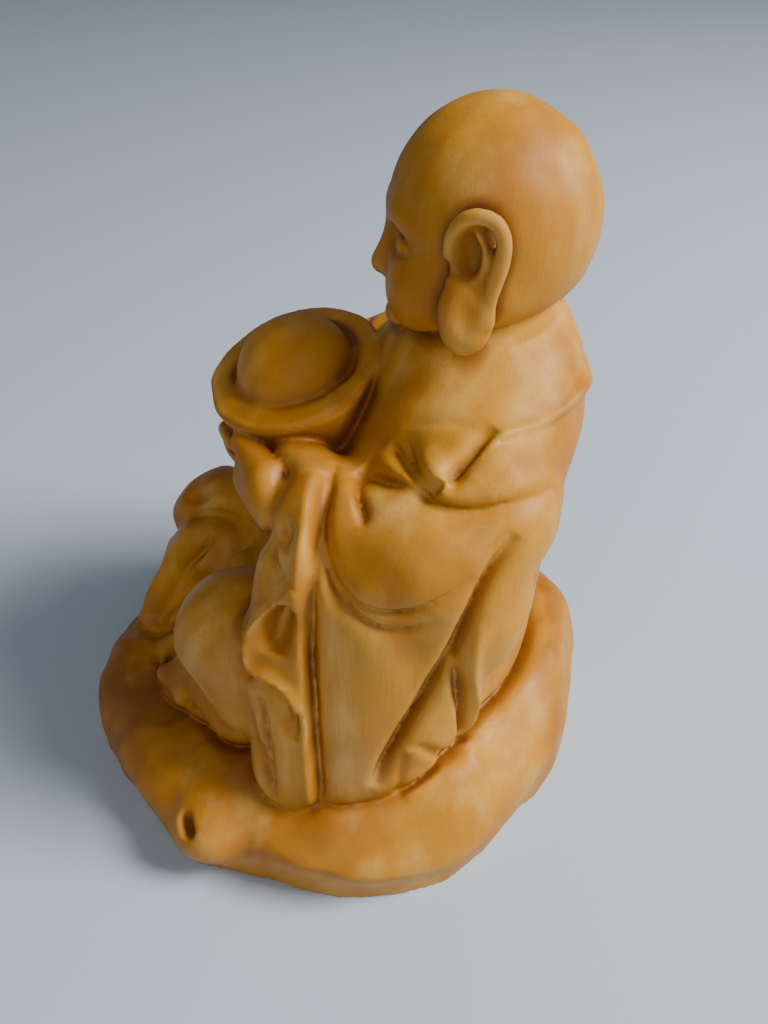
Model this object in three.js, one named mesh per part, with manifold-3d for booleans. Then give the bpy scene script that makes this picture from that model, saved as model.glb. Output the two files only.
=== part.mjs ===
// A small seated monk figure carved from one piece of boxwood, on a rock base.
// Millimetres, +Z up. The figure faces -Y and its own left side is +X.
// The carving is described as a field: negative inside the wood, positive outside. Rounded masses are
// melted together, cuts are made along named lines, and the zero surface of the field becomes the mesh.
import * as THREE from "three";
import Module from "manifold-3d";

const CELL = 0.8; // spacing of the sampling grid
const TRIANGLES = 9400; // faces kept after the mesh is thinned
const FLOOR_SINK = 2; // how far the rock runs below the cut underside

// Head
const HEAD_Y = 14.4;
const CROWN_Z = 79.6;
const HEAD_HALF = [9.4, 9.4, 10.2];
const EYE_Z = 68.4;
const NOSE_BASE_Z = 64.2;
const MOUTH_Z = 62.0;
const CHIN_Z = 58.6;

// Body under the robe: height, half width, front and back of the rounded section
const BODY = [
  [8, 17.6, -11, 20.4],
  [13, 18.0, -11, 21.2],
  [20, 18.4, -11, 22.0],
  [28, 18.6, -9, 22.4],
  [36, 18.8, -6, 22.8],
  [44, 18.0, -2, 23.4],
  [50, 17.0, 1, 24.2],
  [54, 14.5, 3, 24.0],
  [58, 9.5, 6, 23.4],
  [61, 6.0, 8, 21.6],
];
const BODY_SQUARE = 2.1; // exponent of the section: 2 is an ellipse

// Chiselled sides of the rock: heading in plan, distance out, lean, and the height they are measured at
const ROCK_SIDES = [
  [6, 30.2, -8, 3],
  [30, 29.8, -6, 3],
  [52, 27.8, -6, 3],
  [76, 28.4, 2, 3],
  [110, 30, 2, 3],
  [145, 30, -4, 3],
  [178, 29, 2, 3],
  [210, 31, -5, 3],
  [240, 33.0, 4, 3],
  [266, 34.5, -4, 3],
  [287, 33.8, -4, 3],
  [309, 31.4, -8, 3],
  [345, 29.4, -6, 3],
  [8, 28.6, 38, 10],
  [45, 27.6, 40, 12],
  [80, 28, 30, 15],
  [125, 29, 42, 13],
  [175, 28, 40, 11],
  [215, 30, 44, 10],
  [262, 33.5, 30, 7],
  [300, 31.5, 40, 8],
  [335, 28.4, 48, 8],
];
const ROCK_TOP = [-34, 9, 26, 18]; // front: y and height, back: y and height
const ROCK_SOFT = 1.6;
const SCOOPS = 46; // shallow knife scoops over the rock
const SCOOP_DEPTH = 0.95;
const SCOOP_REACH = 7.0;

// The lens of the photograph: its middle and its length in pixels, the point it looks at, and from how far
const VIEW_MIDDLE = [384, 512];
const VIEW_LENS = 900;
const VIEW_AIM = [0, 4, 34];
const VIEW_DISTANCE = 105;
const VIEW_LIFT = 40; // degrees above level, from the figure's left

const len = Math.hypot;
const mix = (a, b, t) => a + (b - a) * t;
const clamp = (t, lo = 0, hi = 1) => Math.min(hi, Math.max(lo, t));
const dot = (a, b) => a[0] * b[0] + a[1] * b[1] + a[2] * b[2];
const cross = (a, b) => [a[1] * b[2] - a[2] * b[1], a[2] * b[0] - a[0] * b[2], a[0] * b[1] - a[1] * b[0]];
const plus = (a, b, t = 1) => [a[0] + b[0] * t, a[1] + b[1] * t, a[2] + b[2] * t];
const minus = (a, b) => plus(a, b, -1);

function unit(v) {
  const size = len(...v) || 1;
  return v.map((q) => q / size);
}

// Joins two fields with a fillet of about k.
function melt(a, b, k) {
  const h = Math.max(k - Math.abs(a - b), 0) / k;
  return Math.min(a, b) - (h * h * k) / 4;
}

// Takes the second field out of the first.
const dig = (a, b, k) => -melt(-a, b, k);

// Joins two fields with a narrow cut along the line where they meet.
function crease(a, b, depth) {
  const t = (a - b) / (1.6 * depth);
  return Math.min(a, b) + depth * Math.exp(-t * t);
}

// The rows of a turn about X, then Y, then Z, in degrees, taken backwards.
function turnedBack(turn) {
  const euler = new THREE.Euler(...turn.map((d) => (d * Math.PI) / 180), "ZYX");
  const e = new THREE.Matrix4().makeRotationFromEuler(euler).elements;
  return [e.slice(0, 3), e.slice(4, 7), e.slice(8, 11)];
}

// A rounded mass with its own half sizes, turned about its middle.
function ball(centre, half, turn = [0, 0, 0]) {
  const [mu, mv, mw] = turnedBack(turn);
  const [cx, cy, cz] = centre;
  const [rx, ry, rz] = half;
  return (x, y, z) => {
    const dx = x - cx;
    const dy = y - cy;
    const dz = z - cz;
    const u = (mu[0] * dx + mu[1] * dy + mu[2] * dz) / rx;
    const v = (mv[0] * dx + mv[1] * dy + mv[2] * dz) / ry;
    const w = (mw[0] * dx + mw[1] * dy + mw[2] * dz) / rz;
    const k = len(u, v, w);
    const g = len(u / rx, v / ry, w / rz);
    return k < 1e-6 ? -Math.min(rx, ry, rz) : (k * (k - 1)) / g;
  };
}

// A rounded bar from a to b whose radius runs from ra to rb.
function limb(a, b, ra, rb) {
  const ab = minus(b, a);
  const l2 = dot(ab, ab);
  return (x, y, z) => {
    const px = x - a[0];
    const py = y - a[1];
    const pz = z - a[2];
    const t = clamp((px * ab[0] + py * ab[1] + pz * ab[2]) / l2);
    return len(px - ab[0] * t, py - ab[1] * t, pz - ab[2] * t) - mix(ra, rb, t);
  };
}

// A smooth run of points through rough ones, about that far apart.
function smoothRun(rough, spacing) {
  const chord = rough.slice(1).map((p, i) => len(...minus(p, rough[i])));
  const tangent = rough.map((p, i) => {
    const before = rough[Math.max(i - 1, 0)];
    const after = rough[Math.min(i + 1, rough.length - 1)];
    const span = (chord[i - 1] || 0) + (chord[i] || 0);
    return minus(after, before).map((v) => v / span);
  });
  const points = [];
  chord.forEach((c, i) => {
    const steps = Math.max(1, Math.round(c / spacing));
    for (let s = 0; s < steps; s++) {
      const t = s / steps;
      points.push(
        rough[i].map((a, k) => {
          const step = rough[i + 1][k] - a;
          const ta = tangent[i][k] * c;
          const tb = tangent[i + 1][k] * c;
          return a + t * (ta + t * (3 * step - 2 * ta - tb + t * (ta + tb - 2 * step)));
        }),
      );
    }
  });
  points.push(rough[rough.length - 1]);
  return points;
}

// A bent rounded bar along a smooth run of points.
function rod(rough, ra, rb, spacing = 1.2) {
  const p = smoothRun(rough, spacing);
  const last = p.length - 1;
  const parts = p.slice(1).map((q, i) => limb(p[i], q, mix(ra, rb, i / last), mix(ra, rb, (i + 1) / last)));
  return (x, y, z) => {
    let f = Infinity;
    for (const part of parts) f = Math.min(f, part(x, y, z));
    return f;
  };
}

// The same mass on both sides of the figure.
const pair = (field) => (x, y, z) => field(Math.abs(x), y, z);

// A field that is only worked out in and near a box; further off it is the distance to the box.
function local(field, low, high) {
  const beyond = (v, k) => Math.max(low[k] - v, v - high[k], 0);
  return (x, y, z) => {
    const far = len(beyond(x, 0), beyond(y, 1), beyond(z, 2));
    return far < 1.5 ? field(x, y, z) : far;
  };
}

// A value that runs smoothly through the rows of a table, by its first column.
function along(rows, column, z) {
  const last = rows.length - 1;
  if (z <= rows[0][0]) return rows[0][column];
  if (z >= rows[last][0]) return rows[last][column];
  let i = 0;
  while (rows[i + 1][0] < z) i++;
  const at = (k) => rows[clamp(k, 0, last)][column];
  const t = (z - rows[i][0]) / (rows[i + 1][0] - rows[i][0]);
  const [p0, p1, p2, p3] = [at(i - 1), at(i), at(i + 1), at(i + 2)];
  return p1 + 0.5 * t * (p2 - p0 + t * (2 * p0 - 5 * p1 + 4 * p2 - p3 + t * (3 * (p1 - p2) + p3 - p0)));
}

// An upright form whose level sections are rounded boxes that follow the table.
function bodyField(x, y, z) {
  const [wide, front, rear] = [1, 2, 3].map((column) => along(BODY, column, z));
  const deep = (rear - front) / 2;
  const u = Math.abs(x) / wide;
  const v = Math.abs(y - (front + rear) / 2) / deep;
  const k = (u ** BODY_SQUARE + v ** BODY_SQUARE) ** (1 / BODY_SQUARE);
  const side = (k - 1) * Math.min(wide, deep);
  return -melt(-side, BODY[BODY.length - 1][0] - z, 6);
}

// A flat side of the rock.
function facet(heading, out, lean, height) {
  const h = (heading * Math.PI) / 180;
  const l = (lean * Math.PI) / 180;
  const n = [Math.cos(h) * Math.cos(l), Math.sin(h) * Math.cos(l), Math.sin(l)];
  const d = n[0] * out * Math.cos(h) + n[1] * out * Math.sin(h) + n[2] * height;
  return (x, y, z) => n[0] * x + n[1] * y + n[2] * z - d;
}

const rockSides = ROCK_SIDES.map((row) => facet(...row));

// Places of the knife scoops, spread evenly round the rock by the golden angle.
const scoopPlaces = Array.from({ length: SCOOPS }, (_, i) => {
  const turn = 2.39996 * i + 0.7;
  const height = -1 + 17 * ((i * 0.618) % 1);
  const out = 31 - 0.4 * height;
  return [out * Math.cos(turn) * 0.93, out * Math.sin(turn), height];
});

// How deep the nearest knife scoop is cut at a place.
function scoops(x, y, z) {
  let nearest = Infinity;
  for (const [a, b, c] of scoopPlaces) {
    nearest = Math.min(nearest, (x - a) ** 2 + (y - b) ** 2 + (z - c) ** 2);
  }
  return SCOOP_DEPTH * Math.max(0, 1 - nearest / SCOOP_REACH ** 2);
}

function rockField(x, y, z) {
  let f = -1e3;
  for (const side of rockSides) f = -melt(-f, -side(x, y, z), ROCK_SOFT);
  const [y0, z0, y1, z1] = ROCK_TOP;
  const top = mix(z0, z1, clamp((y - y0) / (y1 - y0)));
  f = -melt(-f, -(z - top) * 0.97, 2.2);
  return f + scoops(x, y, z) - 0.4;
}

// A round swelling at the front corner of the rock, where the knot is
const knotBulge = ball([23.0, -15.9, 6.0], [4.7, 4.5, 4.2]);

const skull = ball([0, HEAD_Y, CROWN_Z - HEAD_HALF[2]], HEAD_HALF);
const crown = ball([0, 13.0, 70.6], [8.6, 8.0, 8.1]);

// The ear: a rim that curls over a shallow bowl and runs down into a long, thick, flat lobe
const earRim = rod(
  [
    [9.5, 9.4, 69.9], [9.8, 9.5, 71.4], [10.4, 10.3, 73.0], [10.9, 11.6, 73.6], [11.3, 12.9, 73.2],
        [11.5, 13.6, 71.8],
    [11.4, 13.5, 69.9], [11.2, 13.1, 68.0], [11.0, 12.8, 66.2], [10.9, 12.7, 64.4],
  ],
  0.62,
  0.75,
  0.6,
);
const earPlate = ball([9.7, 11.6, 69.6], [1.5, 2.2, 4.2]);
const earBowl = ball([11.7, 11.3, 70.1], [2.0, 1.8, 2.9], [6, 0, 0]);
const earFold = rod([[10.5, 11.6, 72.2], [10.7, 12.3, 70.9], [10.7, 12.3, 69.3], [10.6, 11.6, 68.0],
    [10.4, 10.5, 67.3], [10.2, 9.6, 67.9]], 0.4, 0.4, 0.6);
const earLobe = ball([10.3, 11.0, 64.5], [1.6, 2.4, 3.7], [8, 0, 0]);
const earDish = ball([12.9, 10.8, 65.4], [1.6, 1.3, 2.4]);

function earShape(x, y, z) {
  let f = dig(earPlate(x, y, z), earBowl(x, y, z), 0.5);
  f = melt(f, earFold(x, y, z), 0.35);
  const lobe = dig(earLobe(x, y, z), earDish(x, y, z), 0.8);
  return melt(melt(f, lobe, 0.9), earRim(x, y, z), 0.5);
}

const earField = pair(local(earShape, [7.5, 7.5, 59.5], [13, 15.5, 75]));

// The face: calm, eyes lowered, on common proportions. Each row is one side of a pair
const faceParts = [
  [ball([0, 12.1, 64.2], [8.6, 7.4, 6.2]), 3],
  [ball([4.4, 7.5, 64.2], [3.8, 3.2, 3.6]), 2],
  [ball([0, 6.5, CHIN_Z + 1.2], [3.0, 2.4, 1.9]), 1.6],
  [rod([[0.8, 5.4, EYE_Z + 1.7], [2.6, 5.3, EYE_Z + 2.3], [4.6, 6.1, EYE_Z + 2.3],
      [6.4, 7.8, EYE_Z + 1.5]], 0.65, 0.5), 1.3],
  [ball([3.5, 6.6, EYE_Z - 0.2], [1.9, 1.5, 1.3]), 0.4],
  [limb([0, 5.6, EYE_Z + 1.2], [0, 3.9, NOSE_BASE_Z + 0.9], 0.8, 1.15), 0.9],
  [ball([1.3, 5, NOSE_BASE_Z + 0.7], [0.95, 1.2, 0.85]), 0.5],
  [ball([0, 5.5, MOUTH_Z + 0.65], [2.5, 1.1, 0.65]), 0.6],
  [ball([0, 5.8, MOUTH_Z - 0.65], [2.1, 1.1, 0.75]), 0.6],
];
const eyeSocket = ball([3.5, 4.6, EYE_Z], [2.5, 1.4, 1.5]);

function headShape(x, y, z) {
  const ax = Math.abs(x);
  let f = dig(melt(skull(x, y, z), crown(x, y, z), 2.5), eyeSocket(ax, y, z), 1.4);
  for (const [part, fillet] of faceParts) f = melt(f, part(ax, y, z), fillet);
  return crease(f, earField(x, y, z), 0.35);
}

const headField = local(headShape, [-13, 0, 55], [13, 25, 82]);

// The vessel
const BOWL_CENTRE = [0, -5.2, 54.0];
const BOWL_TURN = [14, 10, 0]; // tipped forward and a little to the figure's left
const BOWL_RADIUS = 9.45;
const BOWL_TALL = 9.8;
const BOWL_TAPER = 0.2;
const BOWL_LIP = 2.8;
const LIP_SLOPE = 0.12;
const DOME_RADIUS = 6.1;
const DOME_RISE = 5.0;
const DOME_SINK = 0.6;
const bowlRows = turnedBack(BOWL_TURN);

// A round bowl with a sloping lip and a domed middle.
function bowlField(x, y, z) {
  const [u, v, w] = bowlRows.map((row) => dot(row, minus([x, y, z], BOWL_CENTRE)));
  const r = len(u, v);
  const belly = BOWL_RADIUS - BOWL_TAPER * Math.max(0, -w) - 0.01 * Math.max(0, -w) ** 2;
  const lip = -LIP_SLOPE * Math.max(0, r - (BOWL_RADIUS - BOWL_LIP));
  let f = -melt(-(r - belly), -(w - lip) * 0.97, 0.7);
  f = -melt(-f, BOWL_TALL + w, 2);
  const cup = -melt(BOWL_RADIUS - BOWL_LIP - r, w + DOME_SINK + 0.6, 0.5);
  f = dig(f, cup, 0.35);
  const dome = (len(r / DOME_RADIUS, (w + DOME_SINK) / DOME_RISE) - 1) * DOME_RISE;
  return melt(f, dome, 0.4);
}

// Hands: the back of the hand and four fingers that close under the bowl
const palm = [
  limb([12.8, -5.2, 46.0], [6.6, -10.0, 48.8], 3.0, 1.3),
  limb([12.8, -6.0, 44.8], [8.4, -9.8, 45.4], 2.6, 1.5),
  limb([10.5, -6.4, 46.2], [4.6, -9.0, 45.6], 3.0, 2.8),
];
const FINGERS = [
  [[7.4, -9.8, 47.9], [5.4, -11.3, 47.9], [2.8, -12.4, 47.8]],
  [[7.8, -9.6, 46.6], [5.6, -11.0, 46.4], [2.6, -12.1, 46.2]],
  [[8.0, -9.2, 45.3], [5.8, -10.5, 45.0], [3.0, -11.4, 44.7]],
  [[8.0, -8.5, 44.1], [6.0, -9.6, 43.7], [4.0, -10.3, 43.4]],
];
const fingers = FINGERS.map((path) => rod(path, 0.95, 0.85));

function handShape(x, y, z) {
  let f = melt(melt(palm[0](x, y, z), palm[1](x, y, z), 2), palm[2](x, y, z), 1.5);
  for (const finger of fingers) f = crease(f, finger(x, y, z), 0.18);
  return f;
}

const handField = pair(local(handShape, [1, -16, 41], [17, -1, 54]));

// Masses: a field and how it meets what stands before it. A positive number is a fillet of that size,
// and a negative one a cut of that depth along the line where they meet
const MASSES = [
  [bodyField, 4],
  // bare shoulders, upper back, chest and belly
  [ball([0, 13.2, 51.5], [14.3, 10.0, 7.5]), 3],
  [ball([0, 1, 36], [13, 10.5, 12]), 4],
  [pair(ball([5, 5.5, 48], [5.5, 4, 4.5])), 2],
  [limb([0, 13.6, 52], [0, 13.4, 64], 8.2, 7.6), 4],
  // right knee and shin under the drape, and the lap
  [ball([-13.5, -15, 18.8], [9.0, 10.8, 10.2], [0, 0, -12]), 3],
  [limb([-12, -20, 14], [-8, -26, 7], 6.6, 5.2), 3],
  [ball([0, -8, 17], [15, 13, 10]), 4],
  [limb([12, -12, 13], [4, -20, 10], 5.6, 4.5), 3],
  [limb([9.6, -20.6, 12.0], [5.4, -23.8, 10.9], 1.9, 1.7), 1.5],
  // left knee and shin, and the fold of cloth under them
  [limb([13.0, -11.6, 27.6], [14.6, -10.6, 20.0], 7.3, 5.2), -0.8],
  [rod([[1.6, -25.2, 9.8], [5.4, -24.0, 10.2], [9.2, -21.2, 10.6], [11.4, -17.6, 11.2],
      [12.2, -13.6, 11.6]], 2.2, 1.8, 3.0), 1.2],
  // cloth between the lapel and the forearm
  [pair(limb([9.4, 3.6, 47.4], [15.6, 8.2, 49.6], 3.0, 3.6)), 1.5],
  // arms: upper arm, elbow, forearm
  [pair(limb([15.2, 14, 48.0], [17.3, 8.5, 43.5], 6.4, 7.3)), 3],
  [pair(limb([17.3, 8.5, 43.5], [14.5, -2, 45.0], 7.1, 5.0)), 2],
  [pair(limb([14.2, -1.0, 45.0], [8.5, -4.6, 47.2], 4.8, 3.4)), 2],
  // sleeves, with the fall of cloth from the wrist
  [pair(limb([18.8, 3.6, 40], [19.0, 2, 13], 5.7, 6.6)), 2.5],
  [pair(limb([17.4, -1.0, 42], [19.6, -1.6, 13], 4.8, 5.6)), 2],
  [pair(limb([15.5, -3.0, 45], [18.4, -5.0, 33], 3.8, 4.0)), 1.5],
  [pair(limb([18.4, -5.0, 33], [20.8, -5.2, 11], 4.0, 4.6)), 1.5],
  [pair(limb([17.6, -6.0, 42], [18.6, -7.0, 34], 2.2, 2.8)), 1.5],
  [pair(limb([18.6, -7.0, 34], [20.6, -7.6, 11.5], 2.8, 3.5)), 1.5],
  // skirt of the robe behind the sleeve
  [pair(limb([17.4, 14.4, 46.5], [18.0, 12.4, 36], 4.4, 5.0)), 2.5],
  [pair(limb([18.0, 12.4, 38], [16.4, 7.4, 14], 5.2, 5.0)), 3],
  [pair(limb([18.8, 9.4, 38], [19.6, 6.8, 22], 4.6, 4.5)), 2.5],
  [pair(limb([19.6, 6.8, 22], [19.6, 4.0, 13], 4.5, 4.8)), 2],
  [rockField, -0.75],
  [knotBulge, 2.0],
  [handField, -0.5],
  [bowlField, 0.5],
  [headField, -0.5],
];

// The slight unevenness that a knife leaves all over.
function ripple(x, y, z) {
  const a = Math.sin(1.1 * x + 0.6 * Math.sin(0.7 * z)) * Math.sin(0.9 * y + 0.4 * z);
  const b = Math.sin(0.45 * y - 0.8 * z + Math.sin(0.6 * x)) * Math.sin(0.5 * x + 0.35 * z);
  return 0.045 * a + 0.08 * b;
}

// The figure before the lines are cut.
function form(x, y, z) {
  let f = 1e3;
  for (const [mass, meet] of MASSES) {
    const g = mass(x, y, z);
    f = meet > 0 ? melt(f, g, meet) : crease(f, g, -meet);
  }
  return f + ripple(x, y, z);
}

function slopeAt(f, [x, y, z], e = 0.15) {
  return [
    (f(x + e, y, z) - f(x - e, y, z)) / (2 * e),
    (f(x, y + e, z) - f(x, y - e, z)) / (2 * e),
    (f(x, y, z + e) - f(x, y, z - e)) / (2 * e),
  ];
}

// Moves a rough point to the nearest place on the surface of the plain form.
function settleOn(p) {
  let q = p;
  for (let i = 0; i < 8; i++) {
    const g = slopeAt(form, q);
    q = plus(q, g, -clamp(form(...q) / Math.max(dot(g, g), 0.2), -1.5, 1.5));
  }
  return q;
}

const viewLift = (VIEW_LIFT * Math.PI) / 180;
const viewBack = [Math.cos(viewLift), 0, Math.sin(viewLift)];
const viewUp = [-Math.sin(viewLift), 0, Math.cos(viewLift)];
const eye = plus(VIEW_AIM, viewBack, VIEW_DISTANCE);

// The point of the plain form that a pixel of the photograph shows.
function seen([across, down]) {
  const right = (across - VIEW_MIDDLE[0]) / VIEW_LENS;
  const fall = (down - VIEW_MIDDLE[1]) / VIEW_LENS;
  const ray = unit(plus(minus([0, right, 0], viewBack), viewUp, -fall));
  let far = 40;
  for (let i = 0; i < 160; i++) {
    const gap = form(...plus(eye, ray, far));
    if (gap < 0.005) break;
    far += Math.min(0.6 * gap, 2);
  }
  return plus(eye, ray, far);
}

// A run of points in millimetres. A pair of numbers in it is a pixel of the photograph.
const placed = (rough) => rough.map((p) => (p.length === 2 ? seen(p) : p));

// A cut along a run of points. It is deep at its middle line; right and left are its reach to either
// side, seen from outside while walking along it. A negative depth raises a fold instead. It thins out
// towards its ends, over the share of its length given by fade. A higher power rounds its middle.
function line(rough, depth, right, left, fade = [0.2, 0.2], power = 1.3) {
  const points = smoothRun(placed(rough), 1).map(settleOn);
  const normals = points.map((p) => unit(slopeAt(form, p)));
  const segments = points.slice(1).map((b, i) => {
    const step = minus(b, points[i]);
    return { a: points[i], step, l2: dot(step, step) + 1e-9, side: cross(step, normals[i]) };
  });
  const reach = 2.6 * Math.max(right, left) + 0.4;
  const low = [0, 1, 2].map((k) => Math.min(...points.map((p) => p[k])) - reach);
  const high = [0, 1, 2].map((k) => Math.max(...points.map((p) => p[k])) + reach);
  return (x, y, z) => {
    if (x < low[0] || y < low[1] || z < low[2] || x > high[0] || y > high[1] || z > high[2]) return 0;
    let best = { size: Infinity };
    segments.forEach(({ a, step, l2 }, index) => {
      const v = [x - a[0], y - a[1], z - a[2]];
      const t = clamp(dot(v, step) / l2);
      const d = plus(v, step, -t);
      const size = dot(d, d);
      if (size < best.size) best = { size, d, t, index };
    });
    const { size, d, index } = best;
    const normal = unit(normals[index].map((v, k) => mix(v, normals[index + 1][k], best.t)));
    const t = (index + best.t) / segments.length;
    const lift = dot(d, normal);
    const flat = Math.sqrt(Math.max(size - lift * lift, 0));
    const width = dot(d, segments[index].side) > 0 ? right : left;
    const start = fade[0] ? clamp(t / fade[0]) : 1;
    const end = fade[1] ? clamp((1 - t) / fade[1]) : 1;
    const across = Math.exp(-((flat / width) ** power));
    return depth * Math.sqrt(start * end) * across * Math.exp(-((lift / 3) ** 4));
  };
}

const flip = (points) => points.map(([x, y, z]) => [-x, y, z]);

function bothSides(rough, depth, right, left, fade, power) {
  const points = placed(rough);
  return [line(points, depth, right, left, fade, power), line(flip(points), depth, left, right, fade, power)];
}

// The carved lines. A pair of numbers is a pixel of the photograph, and three are millimetres on the figure
const COLLAR = [
  [0, 24.2, 54.2], [3, 23.9, 54.4], [5.4, 23.2, 54.9], [577, 392], [565, 407], [547, 420], [528, 429],
  [512, 433], [497, 438], [485, 447], [472, 460], [460, 473], [452, 482],
];
const COLLAR_BACK = [
  [0, 24.2, 54.2], [3, 23.9, 54.4], [5.4, 23.2, 54.9], [577, 392], [565, 407], [547, 420],
];
const COLLAR_INSIDE = [
  [0, 23.6, 55.6], [3, 23.3, 55.8], [5.6, 22.4, 56.2], [575, 379], [566, 398], [551, 413], [530, 423],
  [510, 428], [495, 431],
];
const COLLAR_OUTER = [[574, 406], [553, 424], [523, 435], [501, 442], [479, 460], [456, 482], [447, 491]];
const NECKLINE = [[490, 431], [468, 426], [447, 422], [431, 423], [415, 425], [402, 428]];
const LAPEL_BACK = [[498, 431], [484, 441], [471, 455], [458, 468], [448, 480]];
const LAPEL_FRONT = [[391, 443], [405, 468], [418, 486], [430, 497]];
const LAPEL_SEAM = [[400, 438], [412, 459], [424, 476], [435, 486], [441, 489]];
const CAPE = [
  [362, 466], [378, 472], [399, 481], [415, 490], [431, 499], [451, 507], [472, 509], [495, 506],
      [520, 500],
  [541, 494], [556, 485],
];
const FRONT_CUT = [[358, 468], [358, 488], [361, 509], [362, 526]];
const FRONT_LIP = [[348, 490], [353, 508], [357, 522]];
const ELBOW_OUTER = [
  [337, 462], [329, 484], [323, 510], [321, 535], [323, 556], [329, 583], [341, 608], [360, 624],
      [383, 633],
  [404, 634], [424, 628], [438, 619],
];
const ELBOW_INNER = [
  [326, 545], [330, 567], [338, 588], [352, 604], [370, 613], [394, 617], [415, 614], [436, 605],
      [457, 592],
  [474, 576],
];
const ARMPIT = [
  [518, 536], [504, 556], [488, 583], [473, 614], [457, 646], [440, 674], [422, 704], [404, 731],
      [388, 758],
  [374, 787],
];
const SKIRT_CUT = [[453, 655], [458, 684], [463, 706], [21, 12.8, 21], [20.2, 13, 16.8]];
const SKIRT_RIGHT = [[482, 625], [475, 658], [473, 684], [474, 707], [469, 742]];
const CORNER_TOP = [[409, 752], [420, 749], [23.8, 9.2, 20.5], [22.6, 10.4, 18], [21.6, 11.4, 16]];
const CORNER_SIDE = [[406, 754], [401, 775], [398, 796]];
const CORNER_FOLD = [[404, 798], [420, 787], [436, 774], [452, 762]];
const SLEEVE_RIDGE = [
  [318, 470], [311, 486], [306, 521], [302, 550], [299, 585], [299, 620], [301, 660], [303, 705],
      [306, 750],
  [309, 788], [311, 804],
];
const SLEEVE_CUT = [
  [326, 468], [320, 495], [315, 530], [311, 570], [309, 610], [310, 650], [312, 690], [315, 730],
      [318, 765],
  [320, 792], [321, 806],
];
const CUFF = [[287, 466], [279, 482], [273, 500], [270, 530], [271, 555], [276, 571], [284, 580]];
const CUFF_DENT = [[289, 520], [284, 534], [279, 548]];
const CURL = [
  [296, 586], [285, 595], [271, 605], [260, 617], [253, 633], [250, 651], [255, 664], [266, 671],
      [280, 680],
  [292, 693], [297, 712],
];
const CURL_HOLLOW = [[289, 603], [281, 618], [275, 637], [272, 655]];
const CURL_UNDER = [[262, 679], [276, 688], [288, 702], [294, 718], [297, 740]];
const SLEEVE_EDGE = [[254, 690], [258, 712], [263, 738], [267, 766], [268, 790]];
const SLEEVE_EDGE_2 = [[249, 705], [252, 730], [257, 752], [263, 780]];
const KNEE_SIDE = [[244, 630], [244, 645], [246, 662], [250, 680]];
const DRAPE_TOP = [[184, 497], [197, 494], [212, 491]];
const DRAPE_SECOND = [[182, 514], [196, 511], [212, 511], [240, 514]];
const DRAPE_VALLEY = [
  [246, 532], [228, 548], [214, 559], [204, 569], [191, 582], [176, 598], [164, 612], [155, 630],
];
const DRAPE_RIM = [[184, 515], [187, 530], [178, 545], [168, 562], [157, 583], [146, 606], [136, 626]];
const DRAPE_THIRD = [[212, 532], [200, 549], [182, 568], [170, 586], [158, 606]];
const LEAF = [[174, 700], [189, 708], [12.6, -17, 12.6], [13.4, -14.4, 12.8]];
const KNOT = [[184, 819], [186, 831]];
const LAP_FOLDS = [
  [[8, -13.4, 27.3], [0, -15.5, 25.5], [-4, -20, 19], [-6, -25, 13], [-6, -29, 9]],
  [[4, -12, 27], [-5, -14, 27.5], [-10, -18, 25], [-14, -23, 18], [-15, -26, 11]],
  [[-4, -9, 29], [-10, -10, 30], [-16, -14, 28], [-20, -18, 20]],
  [[2, -19, 20], [1, -24, 13], [2, -27, 9]],
];
const HEM_FOLD = [[-8, -28, 9.5], [0, -26.6, 10], [6, -24, 10.5], [11.4, -18.7, 12]];
const BACK_FOLDS = [
  [[-16, 19, 46], [-10, 23, 40], [-2, 24, 33], [8, 23, 27]],
  [[16, 19, 44], [12, 22, 36], [9, 23.5, 28], [7, 23.5, 21]],
  [[-14, 20.5, 38], [-12, 22.5, 30], [-11, 22.5, 21]],
];
const EYE_LINE = [
  [1.5, 5.9, EYE_Z - 0.5], [2.8, 5.1, EYE_Z - 1.0], [4.4, 5.3, EYE_Z - 1.0], [5.8, 6.5, EYE_Z - 0.4],
];
const LID_FOLD = [
  [1.4, 5.7, EYE_Z + 0.5], [3.2, 4.8, EYE_Z + 1.0], [5.0, 5.5, EYE_Z + 0.8], [6.2, 7.1, EYE_Z - 0.1],
];
const MOUTH = [[0, 4.3, MOUTH_Z], [1.4, 4.6, MOUTH_Z + 0.05], [2.7, 5.5, MOUTH_Z + 0.3]];
const CHEEK_FOLD = [
  [1.9, 4.5, NOSE_BASE_Z + 0.6], [2.9, 4.8, NOSE_BASE_Z - 0.8], [3.5, 5.3, MOUTH_Z + 0.4],
];
const NECK_FOLD = [[0, 21.0, 61.4], [5, 19.4, 60.8], [7.6, 15.5, 60.0]];

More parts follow.
